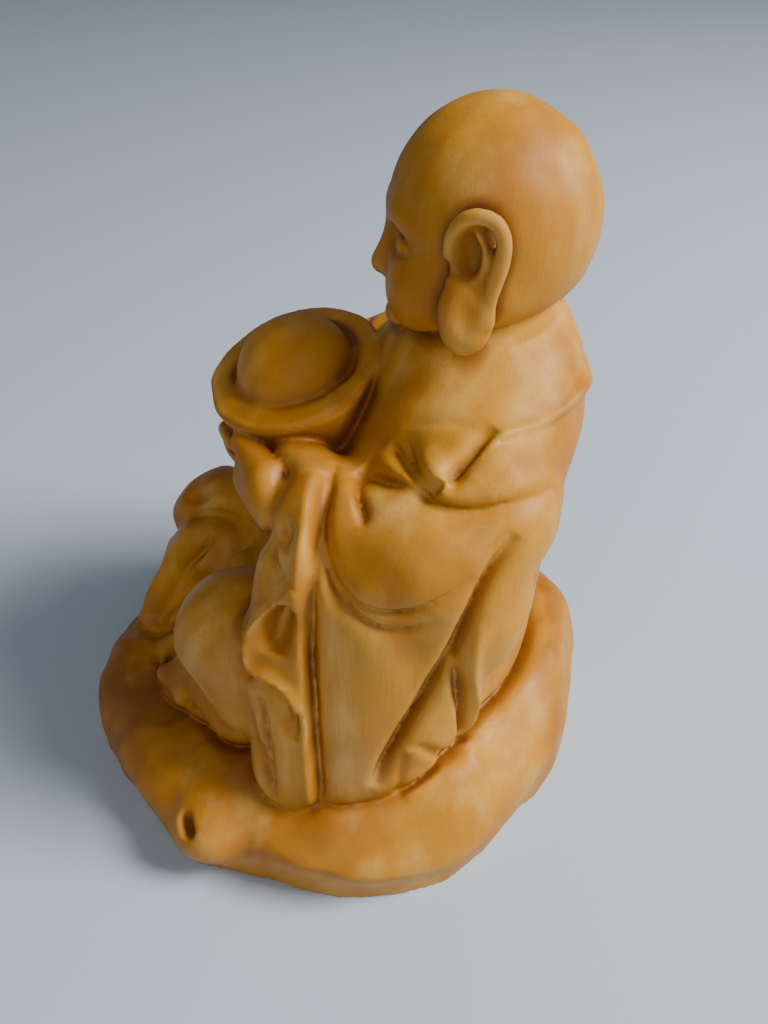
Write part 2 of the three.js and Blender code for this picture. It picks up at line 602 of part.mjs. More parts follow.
// Every cut and raised fold: path, depth, reach to the right and left, ends, roundness
const cuts = [
  ...bothSides(EYE_LINE, 0.4, 0.25, 0.25, [0.1, 0.1]),
  ...bothSides(LID_FOLD, 0.3, 0.25, 0.25),
  ...bothSides(MOUTH, 0.45, 0.3, 0.3, [0, 0.2]),
  ...bothSides(CHEEK_FOLD, 0.25, 0.5, 0.4),
  ...bothSides(NECK_FOLD, 0.4, 0.6, 0.6, [0, 0.3]),
  ...bothSides(COLLAR, -0.8, 0.8, 0.8, [0.45, 0.25], 2),
  ...bothSides(COLLAR_BACK, -0.32, 0.8, 0.8, [0, 0.6], 2),
  ...bothSides(COLLAR_INSIDE, 0.42, 0.6, 1.1, [0, 0.2], 1.2),
  ...bothSides(COLLAR_OUTER, 0.45, 0.5, 0.5, [0.1, 0.05], 1.2),
  ...bothSides(NECKLINE, 0.3, 0.9, 0.6, [0.2, 0.3], 1.2),
  ...bothSides(LAPEL_BACK, 1.5, 0.95, 0.6, [0.4, 0.1], 1.4),
  ...bothSides(LAPEL_FRONT, 1.15, 0.6, 0.6, [0.12, 0.1], 1.3),
  ...bothSides(LAPEL_SEAM, 1, 0.55, 0.6, [0.15, 0.05], 1.3),
  ...bothSides(CAPE, 1.25, 2, 0.53, [0.05, 0.35], 1.2),
  ...bothSides(FRONT_CUT, 1.15, 0.55, 0.55, [0.2, 0.2], 1.2),
  ...bothSides(FRONT_LIP, -0.35, 0.6, 0.5, [0.4, 0.4], 1.5),
  ...bothSides(ELBOW_OUTER, 1.2, 0.8, 0.6, [0.15, 0.25], 1.1),
  ...bothSides(ELBOW_INNER, 0.9, 0.6, 0.55, [0.3, 0.4], 1.2),
  ...bothSides(ARMPIT, 1.7, 0.65, 0.8, [0.2, 0.12], 1.6),
  ...bothSides(SKIRT_CUT, 1.3, 0.65, 0.75, [0.35, 0.1], 1.6),
  ...bothSides(SKIRT_RIGHT, -0.7, 0.8, 0.7, [0.3, 0], 1.6),
  line(CORNER_TOP, 0.9, 0.6, 0.8, [0.4, 0.1], 1.6),
  line(CORNER_SIDE, 0.5, 0.6, 0.55, [0.1, 0.1], 1.3),
  line(CORNER_FOLD, -0.5, 0.8, 0.8, [0.2, 0.2], 1.5),
  ...bothSides(SLEEVE_RIDGE, -0.75, 1, 0.7, [0.1, 0.04], 1.6),
  ...bothSides(SLEEVE_CUT, 1, 0.62, 0.7, [0.1, 0.04], 1.4),
  ...bothSides(CUFF, 0.9, 1.2, 0.49, [0.1, 0.1], 1.3),
  ...bothSides(CUFF_DENT, 1.1, 0.8, 0.9, [0.3, 0.3], 2),
  ...bothSides(CURL, -1.2, 0.8, 0.7, [0.15, 0.1], 1.6),
  ...bothSides(CURL_HOLLOW, 1.7, 1.2, 1.3, [0.25, 0.25], 2),
  ...bothSides(CURL_UNDER, 1.5, 1.2, 0.55, [0.15, 0.2], 1.3),
  ...bothSides(SLEEVE_EDGE, 1.2, 0.65, 0.8, [0.2, 0], 1.4),
  ...bothSides(SLEEVE_EDGE_2, 0.95, 0.55, 0.6, [0.3, 0], 1.4),
  line(KNEE_SIDE, 0.8, 0.7, 0.7, [0.4, 0.2], 1.4),
  line(DRAPE_TOP, 1.3, 1, 0.8, [0.3, 0.3], 1.6),
  line(DRAPE_SECOND, 1.2, 1, 0.8, [0.2, 0.3], 1.6),
  line(DRAPE_VALLEY, 1.9, 1.2, 1, [0.1, 0.1], 1.6),
  line(DRAPE_RIM, -0.8, 0.8, 0.8, [0.2, 0.1], 1.7),
  line(DRAPE_THIRD, 1.4, 0.9, 0.8, [0.2, 0.2], 1.6),
  line(LEAF, 0.75, 0.7, 0.6, [0.4, 0.25], 1.4),
  line(KNOT, 2.4, 0.75, 0.75, [0, 0], 2.6),
  ...LAP_FOLDS.map((path) => line(path, 1.3, 1.4, 1.4, [0.2, 0.2], 1.6)),
  ...BACK_FOLDS.map((path) => line(path, 0.8, 1.6, 0.7, [0.25, 0.25], 1.5)),
  line(HEM_FOLD, 0.9, 0.9, 1.4),
];

function field(x, y, z) {
  let f = form(x, y, z);
  if (f < 5 && f > -5) for (const cut of cuts) f += cut(x, y, z);
  return Math.max(f, -z - FLOOR_SINK);
}

const LOW = [-36, -42, -4];
const HIGH = [36, 38, 82];

// Samples the field on a grid; blocks that are far from the surface only keep their sign.
function sampleGrid(f) {
  const n = LOW.map((lo, i) => Math.ceil((HIGH[i] - lo) / CELL / 4) * 4 + 1);
  const values = new Float32Array(n[0] * n[1] * n[2]);
  const at = (i, j, k) => (i * n[1] + j) * n[2] + k;
  const reach = CELL * 4 * 0.87 * 1.5 + 2.5;
  for (let i = 0; i < n[0]; i += 4)
    for (let j = 0; j < n[1]; j += 4)
      for (let k = 0; k < n[2]; k += 4) {
        const mid = f(...[i, j, k].map((q, a) => LOW[a] + (q + 1.5) * CELL));
        const near = Math.abs(mid) < reach;
        for (let a = i; a < Math.min(i + 4, n[0]); a++)
          for (let b = j; b < Math.min(j + 4, n[1]); b++)
            for (let c = k; c < Math.min(k + 4, n[2]); c++)
              values[at(a, b, c)] = near
                ? f(LOW[0] + a * CELL, LOW[1] + b * CELL, LOW[2] + c * CELL)
                : mid;
      }
  return { n, values, at };
}

// Keeps one body with no hidden hollow: what the outside can't reach becomes wood, and a crumb of wood
// that the middle of the figure can't reach is taken away.
function keepOneBody({ n, values, at }, seed) {
  const step = [n[1] * n[2], n[2], 1];
  const spread = (start, wanted) => {
    const seen = new Uint8Array(values.length);
    const stack = [start];
    seen[start] = 1;
    while (stack.length) {
      const p = stack.pop();
      for (const s of step)
        for (const q of [p - s, p + s])
          if (q >= 0 && q < values.length && !seen[q] && wanted(values[q])) {
            seen[q] = 1;
            stack.push(q);
          }
    }
    return seen;
  };
  const outside = spread(0, (v) => v >= 0);
  const wood = spread(at(...seed.map((v, i) => Math.round((v - LOW[i]) / CELL))), (v) => v < 0);
  for (let p = 0; p < values.length; p++) {
    if (values[p] >= 0 && !outside[p]) values[p] = -0.5 * CELL;
    else if (values[p] < 0 && !wood[p]) values[p] = 0.5 * CELL;
  }
}

// Fills grid corners until no face or cube of the grid is met by the surface in two separate sheets.
function settle({ n, values, at }) {
  const fill = (p) => {
    values[p] = -0.05 * CELL;
  };
  const step = [n[1] * n[2], n[2], 1];
  for (let again = true; again; ) {
    again = false;
    for (let i = 0; i < n[0] - 1; i++)
      for (let j = 0; j < n[1] - 1; j++)
        for (let k = 0; k < n[2] - 1; k++) {
          const p = at(i, j, k);
          for (let a = 0; a < 3; a++) {
            const u = step[a];
            const v = step[(a + 1) % 3];
            const s = [p, p + u, p + u + v, p + v].map((q) => values[q] < 0);
            if (s[0] === s[2] && s[1] === s[3] && s[0] !== s[1]) {
              fill(s[0] ? p + u : p);
              again = true;
            }
          }
          const all = step[0] + step[1] + step[2];
          for (const [from, to] of [
            [p, p + all],
            [p + step[0], p + all - step[0]],
            [p + step[1], p + all - step[1]],
            [p + step[2], p + all - step[2]],
          ]) {
            const cube = [0, step[0], step[1], step[2], all, all - step[0], all - step[1], all - step[2]];
            const inside = cube.map((q) => p + q).filter((q) => values[q] < 0);
            const lone = inside.length === 2 || inside.length === 6;
            if (!lone || values[from] < 0 !== values[to] < 0) continue;
            const pairInside = inside.length === 2 && inside.includes(from) && inside.includes(to);
            const pairOutside = inside.length === 6 && !inside.includes(from) && !inside.includes(to);
            if (pairInside) fill(p + step[0] === from || p + step[0] === to ? p : p + step[0]);
            if (pairOutside) fill(from);
            again = again || pairInside || pairOutside;
          }
        }
  }
}

// One vertex for each cube that the surface crosses, at the mean of its edge crossings, and one
// four-sided face, split in two, for each grid edge that it crosses.
function surfaceMesh({ n, values, at }) {
  const vertexOf = new Map();
  const points = [];
  const step = [n[1] * n[2], n[2], 1];
  const corner = (c) => [(c >> 2) & 1, (c >> 1) & 1, c & 1];
  const edges = [];
  for (let c = 0; c < 8; c++) for (const bit of [1, 2, 4]) if (!(c & bit)) edges.push([c, c | bit]);
  const vertexAt = (i, j, k) => {
    const key = at(i, j, k);
    if (vertexOf.has(key)) return vertexOf.get(key);
    const sum = [0, 0, 0];
    let count = 0;
    for (const [c, d] of edges) {
      const a = corner(c);
      const b = corner(d);
      const va = values[at(i + a[0], j + a[1], k + a[2])];
      const vb = values[at(i + b[0], j + b[1], k + b[2])];
      if (va < 0 === vb < 0) continue;
      const t = va / (va - vb);
      for (let q = 0; q < 3; q++) sum[q] += mix(a[q], b[q], t);
      count++;
    }
    points.push([i, j, k].map((q, a) => LOW[a] + (q + sum[a] / count) * CELL));
    vertexOf.set(key, points.length - 1);
    return points.length - 1;
  };
  const faces = [];
  for (let i = 1; i < n[0] - 1; i++)
    for (let j = 1; j < n[1] - 1; j++)
      for (let k = 1; k < n[2] - 1; k++)
        for (let a = 0; a < 3; a++) {
          const p = at(i, j, k);
          const here = values[p] < 0;
          if (here === values[p + step[a]] < 0) continue;
          const back = (du, dv) => {
            const q = [i, j, k];
            q[(a + 1) % 3] -= du;
            q[(a + 2) % 3] -= dv;
            return vertexAt(...q);
          };
          const ring = [back(1, 1), back(0, 1), back(0, 0), back(1, 0)];
          if (!here) ring.reverse();
          const d02 = distance(points[ring[0]], points[ring[2]]);
          const d13 = distance(points[ring[1]], points[ring[3]]);
          const turn = d02 <= d13 ? 0 : 1;
          faces.push([ring[turn], ring[turn + 1], ring[turn + 2]]);
          faces.push([ring[turn], ring[turn + 2], ring[(turn + 3) % 4]]);
        }
  return { points, faces };
}

const distance = (a, b) => len(a[0] - b[0], a[1] - b[1], a[2] - b[2]);

// Square distance to a set of planes, kept as the ten numbers of a symmetric matrix.
function planeSquares(n, d, weight) {
  const [a, b, c] = n;
  return [a * a, a * b, a * c, a * d, b * b, b * c, b * d, c * c, c * d, d * d].map((v) => v * weight);
}

function squaresAt(q, [x, y, z]) {
  return (
    q[0] * x * x + 2 * q[1] * x * y + 2 * q[2] * x * z + 2 * q[3] * x + q[4] * y * y +
    2 * q[5] * y * z + 2 * q[6] * y + q[7] * z * z + 2 * q[8] * z + q[9]
  );
}

// The point with the least square distance, or null when the planes are nearly parallel.
function bestPoint(q) {
  const [a, b, c, d, e, f, g, h, i] = q;
  const det = a * (e * h - f * f) - b * (b * h - c * f) + c * (b * f - c * e);
  if (Math.abs(det) < 1e-6 * (a + e + h) ** 3) return null;
  return [
    -(d * (e * h - f * f) + g * (c * f - b * h) + i * (b * f - c * e)) / det,
    -(d * (c * f - b * h) + g * (a * h - c * c) + i * (b * c - a * f)) / det,
    -(d * (b * f - c * e) + g * (b * c - a * f) + i * (a * e - b * b)) / det,
  ];
}

function crossOf(p, q, r) {
  const u = [q[0] - p[0], q[1] - p[1], q[2] - p[2]];
  const v = [r[0] - p[0], r[1] - p[1], r[2] - p[2]];
  return [u[1] * v[2] - u[2] * v[1], u[2] * v[0] - u[0] * v[2], u[0] * v[1] - u[1] * v[0]];
}

// Joins edges, the flattest first, until the wanted number of faces is left. An edge is only joined
// where the surface stays closed and no face turns over.
function thin({ points, faces }, wanted) {
  const around = points.map(() => new Set());
  const squares = points.map(() => new Array(10).fill(0));
  const stamp = new Uint32Array(points.length);
  faces.forEach((face, index) => {
    const [p, q, r] = face.map((v) => points[v]);
    const n = crossOf(p, q, r);
    const area = len(...n) || 1e-12;
    const unit = n.map((v) => v / area);
    const plane = planeSquares(unit, -(unit[0] * p[0] + unit[1] * p[1] + unit[2] * p[2]), area);
    for (const v of face) {
      around[v].add(index);
      plane.forEach((value, k) => (squares[v][k] += value));
    }
  });
  const heap = [];
  const less = (a, b) => heap[a].cost < heap[b].cost;
  const swap = (a, b) => ([heap[a], heap[b]] = [heap[b], heap[a]]);
  const push = (item) => {
    let i = heap.push(item) - 1;
    for (let up = (i - 1) >> 1; i > 0 && less(i, up); i = up, up = (i - 1) >> 1) swap(i, up);
  };
  const pop = () => {
    const top = heap[0];
    const last = heap.pop();
    if (heap.length) heap[0] = last;
    for (let i = 0; ; ) {
      let low = i;
      for (const kid of [2 * i + 1, 2 * i + 2]) if (kid < heap.length && less(kid, low)) low = kid;
      if (low === i) return top;
      swap(i, low);
      i = low;
    }
  };
  const offer = (a, b) => {
    const q = squares[a].map((v, k) => v + squares[b][k]);
    const middle = points[a].map((v, k) => (v + points[b][k]) / 2);
    const best = bestPoint(q);
    const near = best && distance(best, middle) < 2 * distance(points[a], points[b]) + 0.2;
    const to = near ? best : middle;
    const cost = squaresAt(q, to) + 1e-4 * distance(points[a], points[b]) ** 2;
    push({ cost, a, b, to, stamps: stamp[a] + stamp[b] });
  };
  const neighbours = (v) => {
    const found = new Set();
    for (const index of around[v]) for (const w of faces[index]) if (w !== v) found.add(w);
    return found;
  };
  faces.forEach(([p, q, r]) => {
    if (p < q) offer(p, q);
    if (q < r) offer(q, r);
    if (r < p) offer(r, p);
  });
  let left = faces.length;
  const turnsOver = (v, other, to) => {
    for (const index of around[v]) {
      const face = faces[index];
      if (face.includes(other)) continue;
      const before = crossOf(...face.map((w) => points[w]));
      const after = crossOf(...face.map((w) => (w === v ? to : points[w])));
      const dot = before[0] * after[0] + before[1] * after[1] + before[2] * after[2];
      const size = len(...after);
      if (dot < 0.3 * len(...before) * size || size < 1e-3) return true;
    }
    return false;
  };
  while (left > wanted && heap.length) {
    const { a, b, to, stamps } = pop();
    if (!around[a].size || !around[b].size || stamps !== stamp[a] + stamp[b]) continue;
    const nearA = neighbours(a);
    if (!nearA.has(b)) continue;
    const shared = [...neighbours(b)].filter((v) => nearA.has(v));
    if (shared.length !== 2 || shared.some((v) => around[v].size < 4)) continue;
    if (turnsOver(a, b, to) || turnsOver(b, a, to)) continue;
    for (const index of [...around[b]]) {
      const face = faces[index];
      if (face.includes(a)) {
        for (const v of face) around[v].delete(index);
        faces[index] = null;
        left--;
      } else {
        face[face.indexOf(b)] = a;
        around[a].add(index);
      }
    }
    around[b].clear();
    points[a] = to;
    squares[a] = squares[a].map((v, k) => v + squares[b][k]);
    stamp[a]++;
    stamp[b]++;
    for (const v of neighbours(a)) offer(a, v);
  }
  const kept = faces.filter(Boolean);
  const order = new Map();
  for (const face of kept) for (const v of face) if (!order.has(v)) order.set(v, order.size);
  const renamed = kept.map((face) => face.map((v) => order.get(v)));
  return { points: [...order.keys()].map((v) => points[v]), faces: renamed };
}

const wasm = await Module();
wasm.setup();

const grid = sampleGrid(field);
for (let pass = 0; pass < 2; pass++) {
  keepOneBody(grid, [0, 5, 30]);
  settle(grid);
}
const thinned = thin(surfaceMesh(grid), TRIANGLES);
const whole = new wasm.Manifold(
  new wasm.Mesh({
    numProp: 3,
    vertProperties: new Float32Array(thinned.points.flat()),
    triVerts: new Uint32Array(thinned.faces.flat()),
  }),
);
const cut = whole.trimByPlane([0, 0, 1], 0).getMesh();
const geometry = new THREE.BufferGeometry();
geometry.setAttribute("position", new THREE.BufferAttribute(cut.vertProperties, 3));
geometry.setIndex(new THREE.BufferAttribute(cut.triVerts, 1));
geometry.computeBoundingBox();
const middle = geometry.boundingBox.getCenter(new THREE.Vector3());
geometry.translate(-middle.x, -middle.y, 0);
geometry.computeVertexNormals();

const wood = new THREE.MeshStandardMaterial({ color: 0xc9924e, roughness: 0.55 });
const carving = new THREE.Mesh(geometry, wood);
carving.name = "seated_figure";

const figure = new THREE.Group();
figure.add(carving);

export default figure;
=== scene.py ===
"""A small seated monk figure carved from one piece of boxwood, on a rock base.

The carving is described as a field in millimetres: negative inside the wood, positive outside. Rounded
masses are melted together, cuts are made along named lines, and the zero surface becomes the mesh.
"""

import math

import bpy
import numpy as np
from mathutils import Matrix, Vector


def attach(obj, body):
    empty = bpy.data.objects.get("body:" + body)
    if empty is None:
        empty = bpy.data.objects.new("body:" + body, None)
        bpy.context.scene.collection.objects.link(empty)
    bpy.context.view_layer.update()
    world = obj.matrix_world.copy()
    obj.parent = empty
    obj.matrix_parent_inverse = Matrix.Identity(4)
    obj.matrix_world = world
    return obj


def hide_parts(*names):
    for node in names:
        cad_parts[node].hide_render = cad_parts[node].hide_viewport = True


bl_info = {
    "name": "Carved Boxwood Figure",
    "version": (1, 0, 0),
    "blender": (4, 5, 0),
    "location": "3D View > Sidebar > Figure",
    "description": "Builds a seated figure carved from boxwood, with its stage",
    "category": "Add Mesh",
}

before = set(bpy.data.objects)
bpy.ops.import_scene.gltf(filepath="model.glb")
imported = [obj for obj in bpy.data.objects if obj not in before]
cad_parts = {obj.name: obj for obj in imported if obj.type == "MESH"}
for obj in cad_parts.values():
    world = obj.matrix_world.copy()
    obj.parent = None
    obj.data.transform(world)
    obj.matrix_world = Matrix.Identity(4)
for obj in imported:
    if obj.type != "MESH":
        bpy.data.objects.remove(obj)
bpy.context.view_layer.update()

NODE = "seated_figure"

# Head
HEAD_Y = 14.4
CROWN_Z = 79.6
HEAD_HALF = (9.4, 9.4, 10.2)
EYE_Z = 68.4
NOSE_BASE_Z = 64.2
MOUTH_Z = 62.0
CHIN_Z = 58.6

# Body under the robe: height, half width, front and back of the rounded section
BODY = [
    [8, 17.6, -11, 20.4],
    [13, 18.0, -11, 21.2],
    [20, 18.4, -11, 22.0],
    [28, 18.6, -9, 22.4],
    [36, 18.8, -6, 22.8],
    [44, 18.0, -2, 23.4],
    [50, 17.0, 1, 24.2],
    [54, 14.5, 3, 24.0],
    [58, 9.5, 6, 23.4],
    [61, 6.0, 8, 21.6],
]
BODY_SQUARE = 2.1  # exponent of the section: 2 is an ellipse

# Chiselled sides of the rock: heading in plan, distance out, lean, and the height they are measured at
ROCK_SIDES = [
    [6, 30.2, -8, 3],
    [30, 29.8, -6, 3],
    [52, 27.8, -6, 3],
    [76, 28.4, 2, 3],
    [110, 30, 2, 3],
    [145, 30, -4, 3],
    [178, 29, 2, 3],
    [210, 31, -5, 3],
    [240, 33.0, 4, 3],
    [266, 34.5, -4, 3],
    [287, 33.8, -4, 3],
    [309, 31.4, -8, 3],
    [345, 29.4, -6, 3],
    [8, 28.6, 38, 10],
    [45, 27.6, 40, 12],
    [80, 28, 30, 15],
    [125, 29, 42, 13],
    [175, 28, 40, 11],
    [215, 30, 44, 10],
    [262, 33.5, 30, 7],
    [300, 31.5, 40, 8],
    [335, 28.4, 48, 8],
]
ROCK_TOP = (-34, 9, 26, 18)  # front: y and height, back: y and height
ROCK_SOFT = 1.6
SCOOPS = 46  # shallow knife scoops over the rock
SCOOP_DEPTH = 0.95
SCOOP_REACH = 7.0
GOLDEN_ANGLE = 2.39996  # radians
GOLDEN_SHARE = 0.618

# The lens of the photograph: its middle and its length in pixels, and in millimetres the point it looks at
# and how far off it stands
VIEW_MIDDLE = (384, 512)
VIEW_LENS = 900
VIEW_AIM = (0, 4, 34)
VIEW_DISTANCE = 105
VIEW_LIFT = 40  # degrees above level, from the figure's left
VIEW_START = 40.0  # how far from the lens a ray is first tried
VIEW_TRIES = 160
VIEW_CLOSE = 0.005  # a ray ends this close to the wood


# Field building blocks
def mix(a, b, t):
    return a + (b - a) * t


def melt(a, b, k):
    """Joins two fields with a fillet of about k."""
    h = np.maximum(k - np.abs(a - b), 0) / k
    return np.minimum(a, b) - h * h * k / 4


def dig(a, b, k):
    """Takes the second field out of the first."""
    return -melt(-a, b, k)


def crease(a, b, depth):
    """Joins two fields with a narrow cut along the line where they meet."""
    t = (a - b) / (1.6 * depth)
    return np.minimum(a, b) + depth * np.exp(-t * t)


def turn_matrix(turn):
    """A turn about X, then Y, then Z, in degrees."""
    (cx, sx), (cy, sy), (cz, sz) = ((math.cos(math.radians(v)), math.sin(math.radians(v))) for v in turn)
    about_x = np.array([[1, 0, 0], [0, cx, -sx], [0, sx, cx]])
    about_y = np.array([[cy, 0, sy], [0, 1, 0], [-sy, 0, cy]])
    about_z = np.array([[cz, -sz, 0], [sz, cz, 0], [0, 0, 1]])
    return about_z @ about_y @ about_x


def ball(centre, half, turn=(0, 0, 0)):
    """A rounded mass with its own half sizes, turned about its middle."""
    m = turn_matrix(turn).T
    cx, cy, cz = centre
    rx, ry, rz = half

    def field(x, y, z):
        dx, dy, dz = x - cx, y - cy, z - cz
        u = (m[0, 0] * dx + m[0, 1] * dy + m[0, 2] * dz) / rx
        v = (m[1, 0] * dx + m[1, 1] * dy + m[1, 2] * dz) / ry
        w = (m[2, 0] * dx + m[2, 1] * dy + m[2, 2] * dz) / rz
        k = np.sqrt(u * u + v * v + w * w) + 1e-9
        g = np.sqrt((u / rx) ** 2 + (v / ry) ** 2 + (w / rz) ** 2) + 1e-9
        return k * (k - 1) / g

    return field


def limb(a, b, ra, rb):
    """A rounded bar from a to b whose radius runs from ra to rb."""
    ab = [b[i] - a[i] for i in range(3)]
    l2 = sum(v * v for v in ab)

    def field(x, y, z):
        px, py, pz = x - a[0], y - a[1], z - a[2]
        t = np.clip((px * ab[0] + py * ab[1] + pz * ab[2]) / l2, 0, 1)
        d = np.sqrt((px - ab[0] * t) ** 2 + (py - ab[1] * t) ** 2 + (pz - ab[2] * t) ** 2)
        return d - mix(ra, rb, t)

    return field


def smooth_run(rough, spacing):
    """A smooth run of points through rough ones, about that far apart."""
    p = np.array(rough, float)
    chord = np.linalg.norm(np.diff(p, axis=0), axis=1)
    tangent = np.empty_like(p)
    tangent[0] = (p[1] - p[0]) / chord[0]
    tangent[-1] = (p[-1] - p[-2]) / chord[-1]
    tangent[1:-1] = (p[2:] - p[:-2]) / (chord[1:] + chord[:-1])[:, None]
    out = []
    for i, c in enumerate(chord):
        steps = max(1, round(c / spacing))
        t = (np.arange(steps) / steps)[:, None]
        a, b, ta, tb = p[i], p[i + 1], tangent[i] * c, tangent[i + 1] * c
        out.append(a + t * ta + t * t * (3 * (b - a) - 2 * ta - tb) + t**3 * (2 * (a - b) + ta + tb))
    return np.concatenate(out + [p[-1:]])


def rod(rough, ra, rb, spacing=1.2):
    """A bent rounded bar along a smooth run of points."""
    p = smooth_run(rough, spacing)
    last = len(p) - 1
    parts = [limb(p[i], p[i + 1], mix(ra, rb, i / last), mix(ra, rb, (i + 1) / last)) for i in range(last)]

    def field(x, y, z):
        f = parts[0](x, y, z)
        for part in parts[1:]:
            f = np.minimum(f, part(x, y, z))
        return f

    return field


def pair(field):
    """The same mass on both sides of the figure."""
    return lambda x, y, z: field(np.abs(x), y, z)


def local(field, low, high):
    """A field that is only worked out in and near a box; further off it is the distance to the box."""

    def boxed(x, y, z):
        sides = [np.maximum(np.maximum(lo - v, v - hi), 0) for v, lo, hi in zip((x, y, z), low, high)]
        far = np.sqrt(sides[0] ** 2 + sides[1] ** 2 + sides[2] ** 2)
        near = far < 1.5
        if np.any(near):
            far[near] = field(x[near], y[near], z[near])
        return far

    return boxed


def along(rows, column, z):
    """A value that runs smoothly through the rows of a table, by its first column."""
    table = np.array(rows, float)
    key, value = table[:, 0], table[:, column]
    last = len(rows) - 1
    i = np.clip(np.searchsorted(key, z, side="left") - 1, 0, last - 1)
    t = np.clip((z - key[i]) / (key[i + 1] - key[i]), 0, 1)
    p0, p1, p2, p3 = value[np.maximum(i - 1, 0)], value[i], value[i + 1], value[np.minimum(i + 2, last)]
    return p1 + 0.5 * t * (p2 - p0 + t * (2 * p0 - 5 * p1 + 4 * p2 - p3 + t * (3 * (p1 - p2) + p3 - p0)))


# Body
def body_field(x, y, z):
    """An upright form whose level sections are rounded boxes that follow the table."""
    wide, front, rear = (along(BODY, column, z) for column in (1, 2, 3))
    deep = (rear - front) / 2
    u = np.abs(x) / wide
    v = np.abs(y - (front + rear) / 2) / deep
    k = (u**BODY_SQUARE + v**BODY_SQUARE) ** (1 / BODY_SQUARE)
    side = (k - 1) * np.minimum(wide, deep)
    return -melt(-side, BODY[-1][0] - z, 6)


# Rock
def facet(heading, out, lean, height):
    """A flat side of the rock."""
    h, l = math.radians(heading), math.radians(lean)
    n = (math.cos(h) * math.cos(l), math.sin(h) * math.cos(l), math.sin(l))
    d = n[0] * out * math.cos(h) + n[1] * out * math.sin(h) + n[2] * height
    return lambda x, y, z: n[0] * x + n[1] * y + n[2] * z - d


rock_sides = [facet(*row) for row in ROCK_SIDES]


def scoop_places():
    """Places of the knife scoops, spread evenly round the rock by the golden angle."""
    places = []
    for i in range(SCOOPS):
        turn = GOLDEN_ANGLE * i + 0.7
        height = -1 + 17 * ((i * GOLDEN_SHARE) % 1)
        out = 31 - 0.4 * height
        places.append([out * math.cos(turn) * 0.93, out * math.sin(turn), height])
    return places


SCOOP_PLACES = scoop_places()


def scoops(x, y, z):
    """How deep the nearest knife scoop is cut at a place."""
    nearest = np.full(np.shape(x), 1e3)
    for a, b, c in SCOOP_PLACES:
        nearest = np.minimum(nearest, (x - a) ** 2 + (y - b) ** 2 + (z - c) ** 2)
    return SCOOP_DEPTH * np.maximum(0, 1 - nearest / SCOOP_REACH**2)


def rock_field(x, y, z):
    f = np.full(np.shape(x), -1e3)
    for side in rock_sides:
        f = -melt(-f, -side(x, y, z), ROCK_SOFT)
    y0, z0, y1, z1 = ROCK_TOP
    top = mix(z0, z1, np.clip((y - y0) / (y1 - y0), 0, 1))
    f = -melt(-f, -(z - top) * 0.97, 2.2)
    return f + scoops(x, y, z) - 0.4


# A round swelling at the front corner of the rock, where the knot is
knot_bulge = ball([23.0, -15.9, 6.0], [4.7, 4.5, 4.2])


# Head
skull = ball([0, HEAD_Y, CROWN_Z - HEAD_HALF[2]], HEAD_HALF)
crown = ball([0, 13.0, 70.6], [8.6, 8.0, 8.1])

# The ear: a rim that curls over a shallow bowl and runs down into a long, thick, flat lobe
ear_rim = rod(
    [
        [9.5, 9.4, 69.9], [9.8, 9.5, 71.4], [10.4, 10.3, 73.0], [10.9, 11.6, 73.6], [11.3, 12.9, 73.2],
        [11.5, 13.6, 71.8], [11.4, 13.5, 69.9], [11.2, 13.1, 68.0], [11.0, 12.8, 66.2], [10.9, 12.7, 64.4],
    ],
    0.62,
    0.75,
    0.6,
)
ear_plate = ball([9.7, 11.6, 69.6], [1.5, 2.2, 4.2])
ear_bowl = ball([11.7, 11.3, 70.1], [2.0, 1.8, 2.9], [6, 0, 0])
ear_fold = rod(
    [
        [10.5, 11.6, 72.2], [10.7, 12.3, 70.9], [10.7, 12.3, 69.3], [10.6, 11.6, 68.0], [10.4, 10.5, 67.3],
        [10.2, 9.6, 67.9],
    ],
    0.4,
    0.4,
    0.6,
)
ear_lobe = ball([10.3, 11.0, 64.5], [1.6, 2.4, 3.7], [8, 0, 0])
ear_dish = ball([12.9, 10.8, 65.4], [1.6, 1.3, 2.4])


def ear_shape(x, y, z):
    f = dig(ear_plate(x, y, z), ear_bowl(x, y, z), 0.5)
    f = melt(f, ear_fold(x, y, z), 0.35)
    lobe = dig(ear_lobe(x, y, z), ear_dish(x, y, z), 0.8)
    return melt(melt(f, lobe, 0.9), ear_rim(x, y, z), 0.5)


ear_field = pair(local(ear_shape, (7.5, 7.5, 59.5), (13, 15.5, 75)))

# The face: calm, eyes lowered, on common proportions. Each row is a mass and its fillet, on both sides
BROW = [[0.8, 5.4, EYE_Z + 1.7], [2.6, 5.3, EYE_Z + 2.3], [4.6, 6.1, EYE_Z + 2.3], [6.4, 7.8, EYE_Z + 1.5]]
face_parts = [
    [ball([0, 12.1, 64.2], [8.6, 7.4, 6.2]), 3],
    [ball([4.4, 7.5, 64.2], [3.8, 3.2, 3.6]), 2],
    [ball([0, 6.5, CHIN_Z + 1.2], [3.0, 2.4, 1.9]), 1.6],
    [rod(BROW, 0.65, 0.5), 1.3],
    [ball([3.5, 6.6, EYE_Z - 0.2], [1.9, 1.5, 1.3]), 0.4],
    [limb([0, 5.6, EYE_Z + 1.2], [0, 3.9, NOSE_BASE_Z + 0.9], 0.8, 1.15), 0.9],
    [ball([1.3, 5, NOSE_BASE_Z + 0.7], [0.95, 1.2, 0.85]), 0.5],
    [ball([0, 5.5, MOUTH_Z + 0.65], [2.5, 1.1, 0.65]), 0.6],
    [ball([0, 5.8, MOUTH_Z - 0.65], [2.1, 1.1, 0.75]), 0.6],
]
eye_socket = ball([3.5, 4.6, EYE_Z], [2.5, 1.4, 1.5])


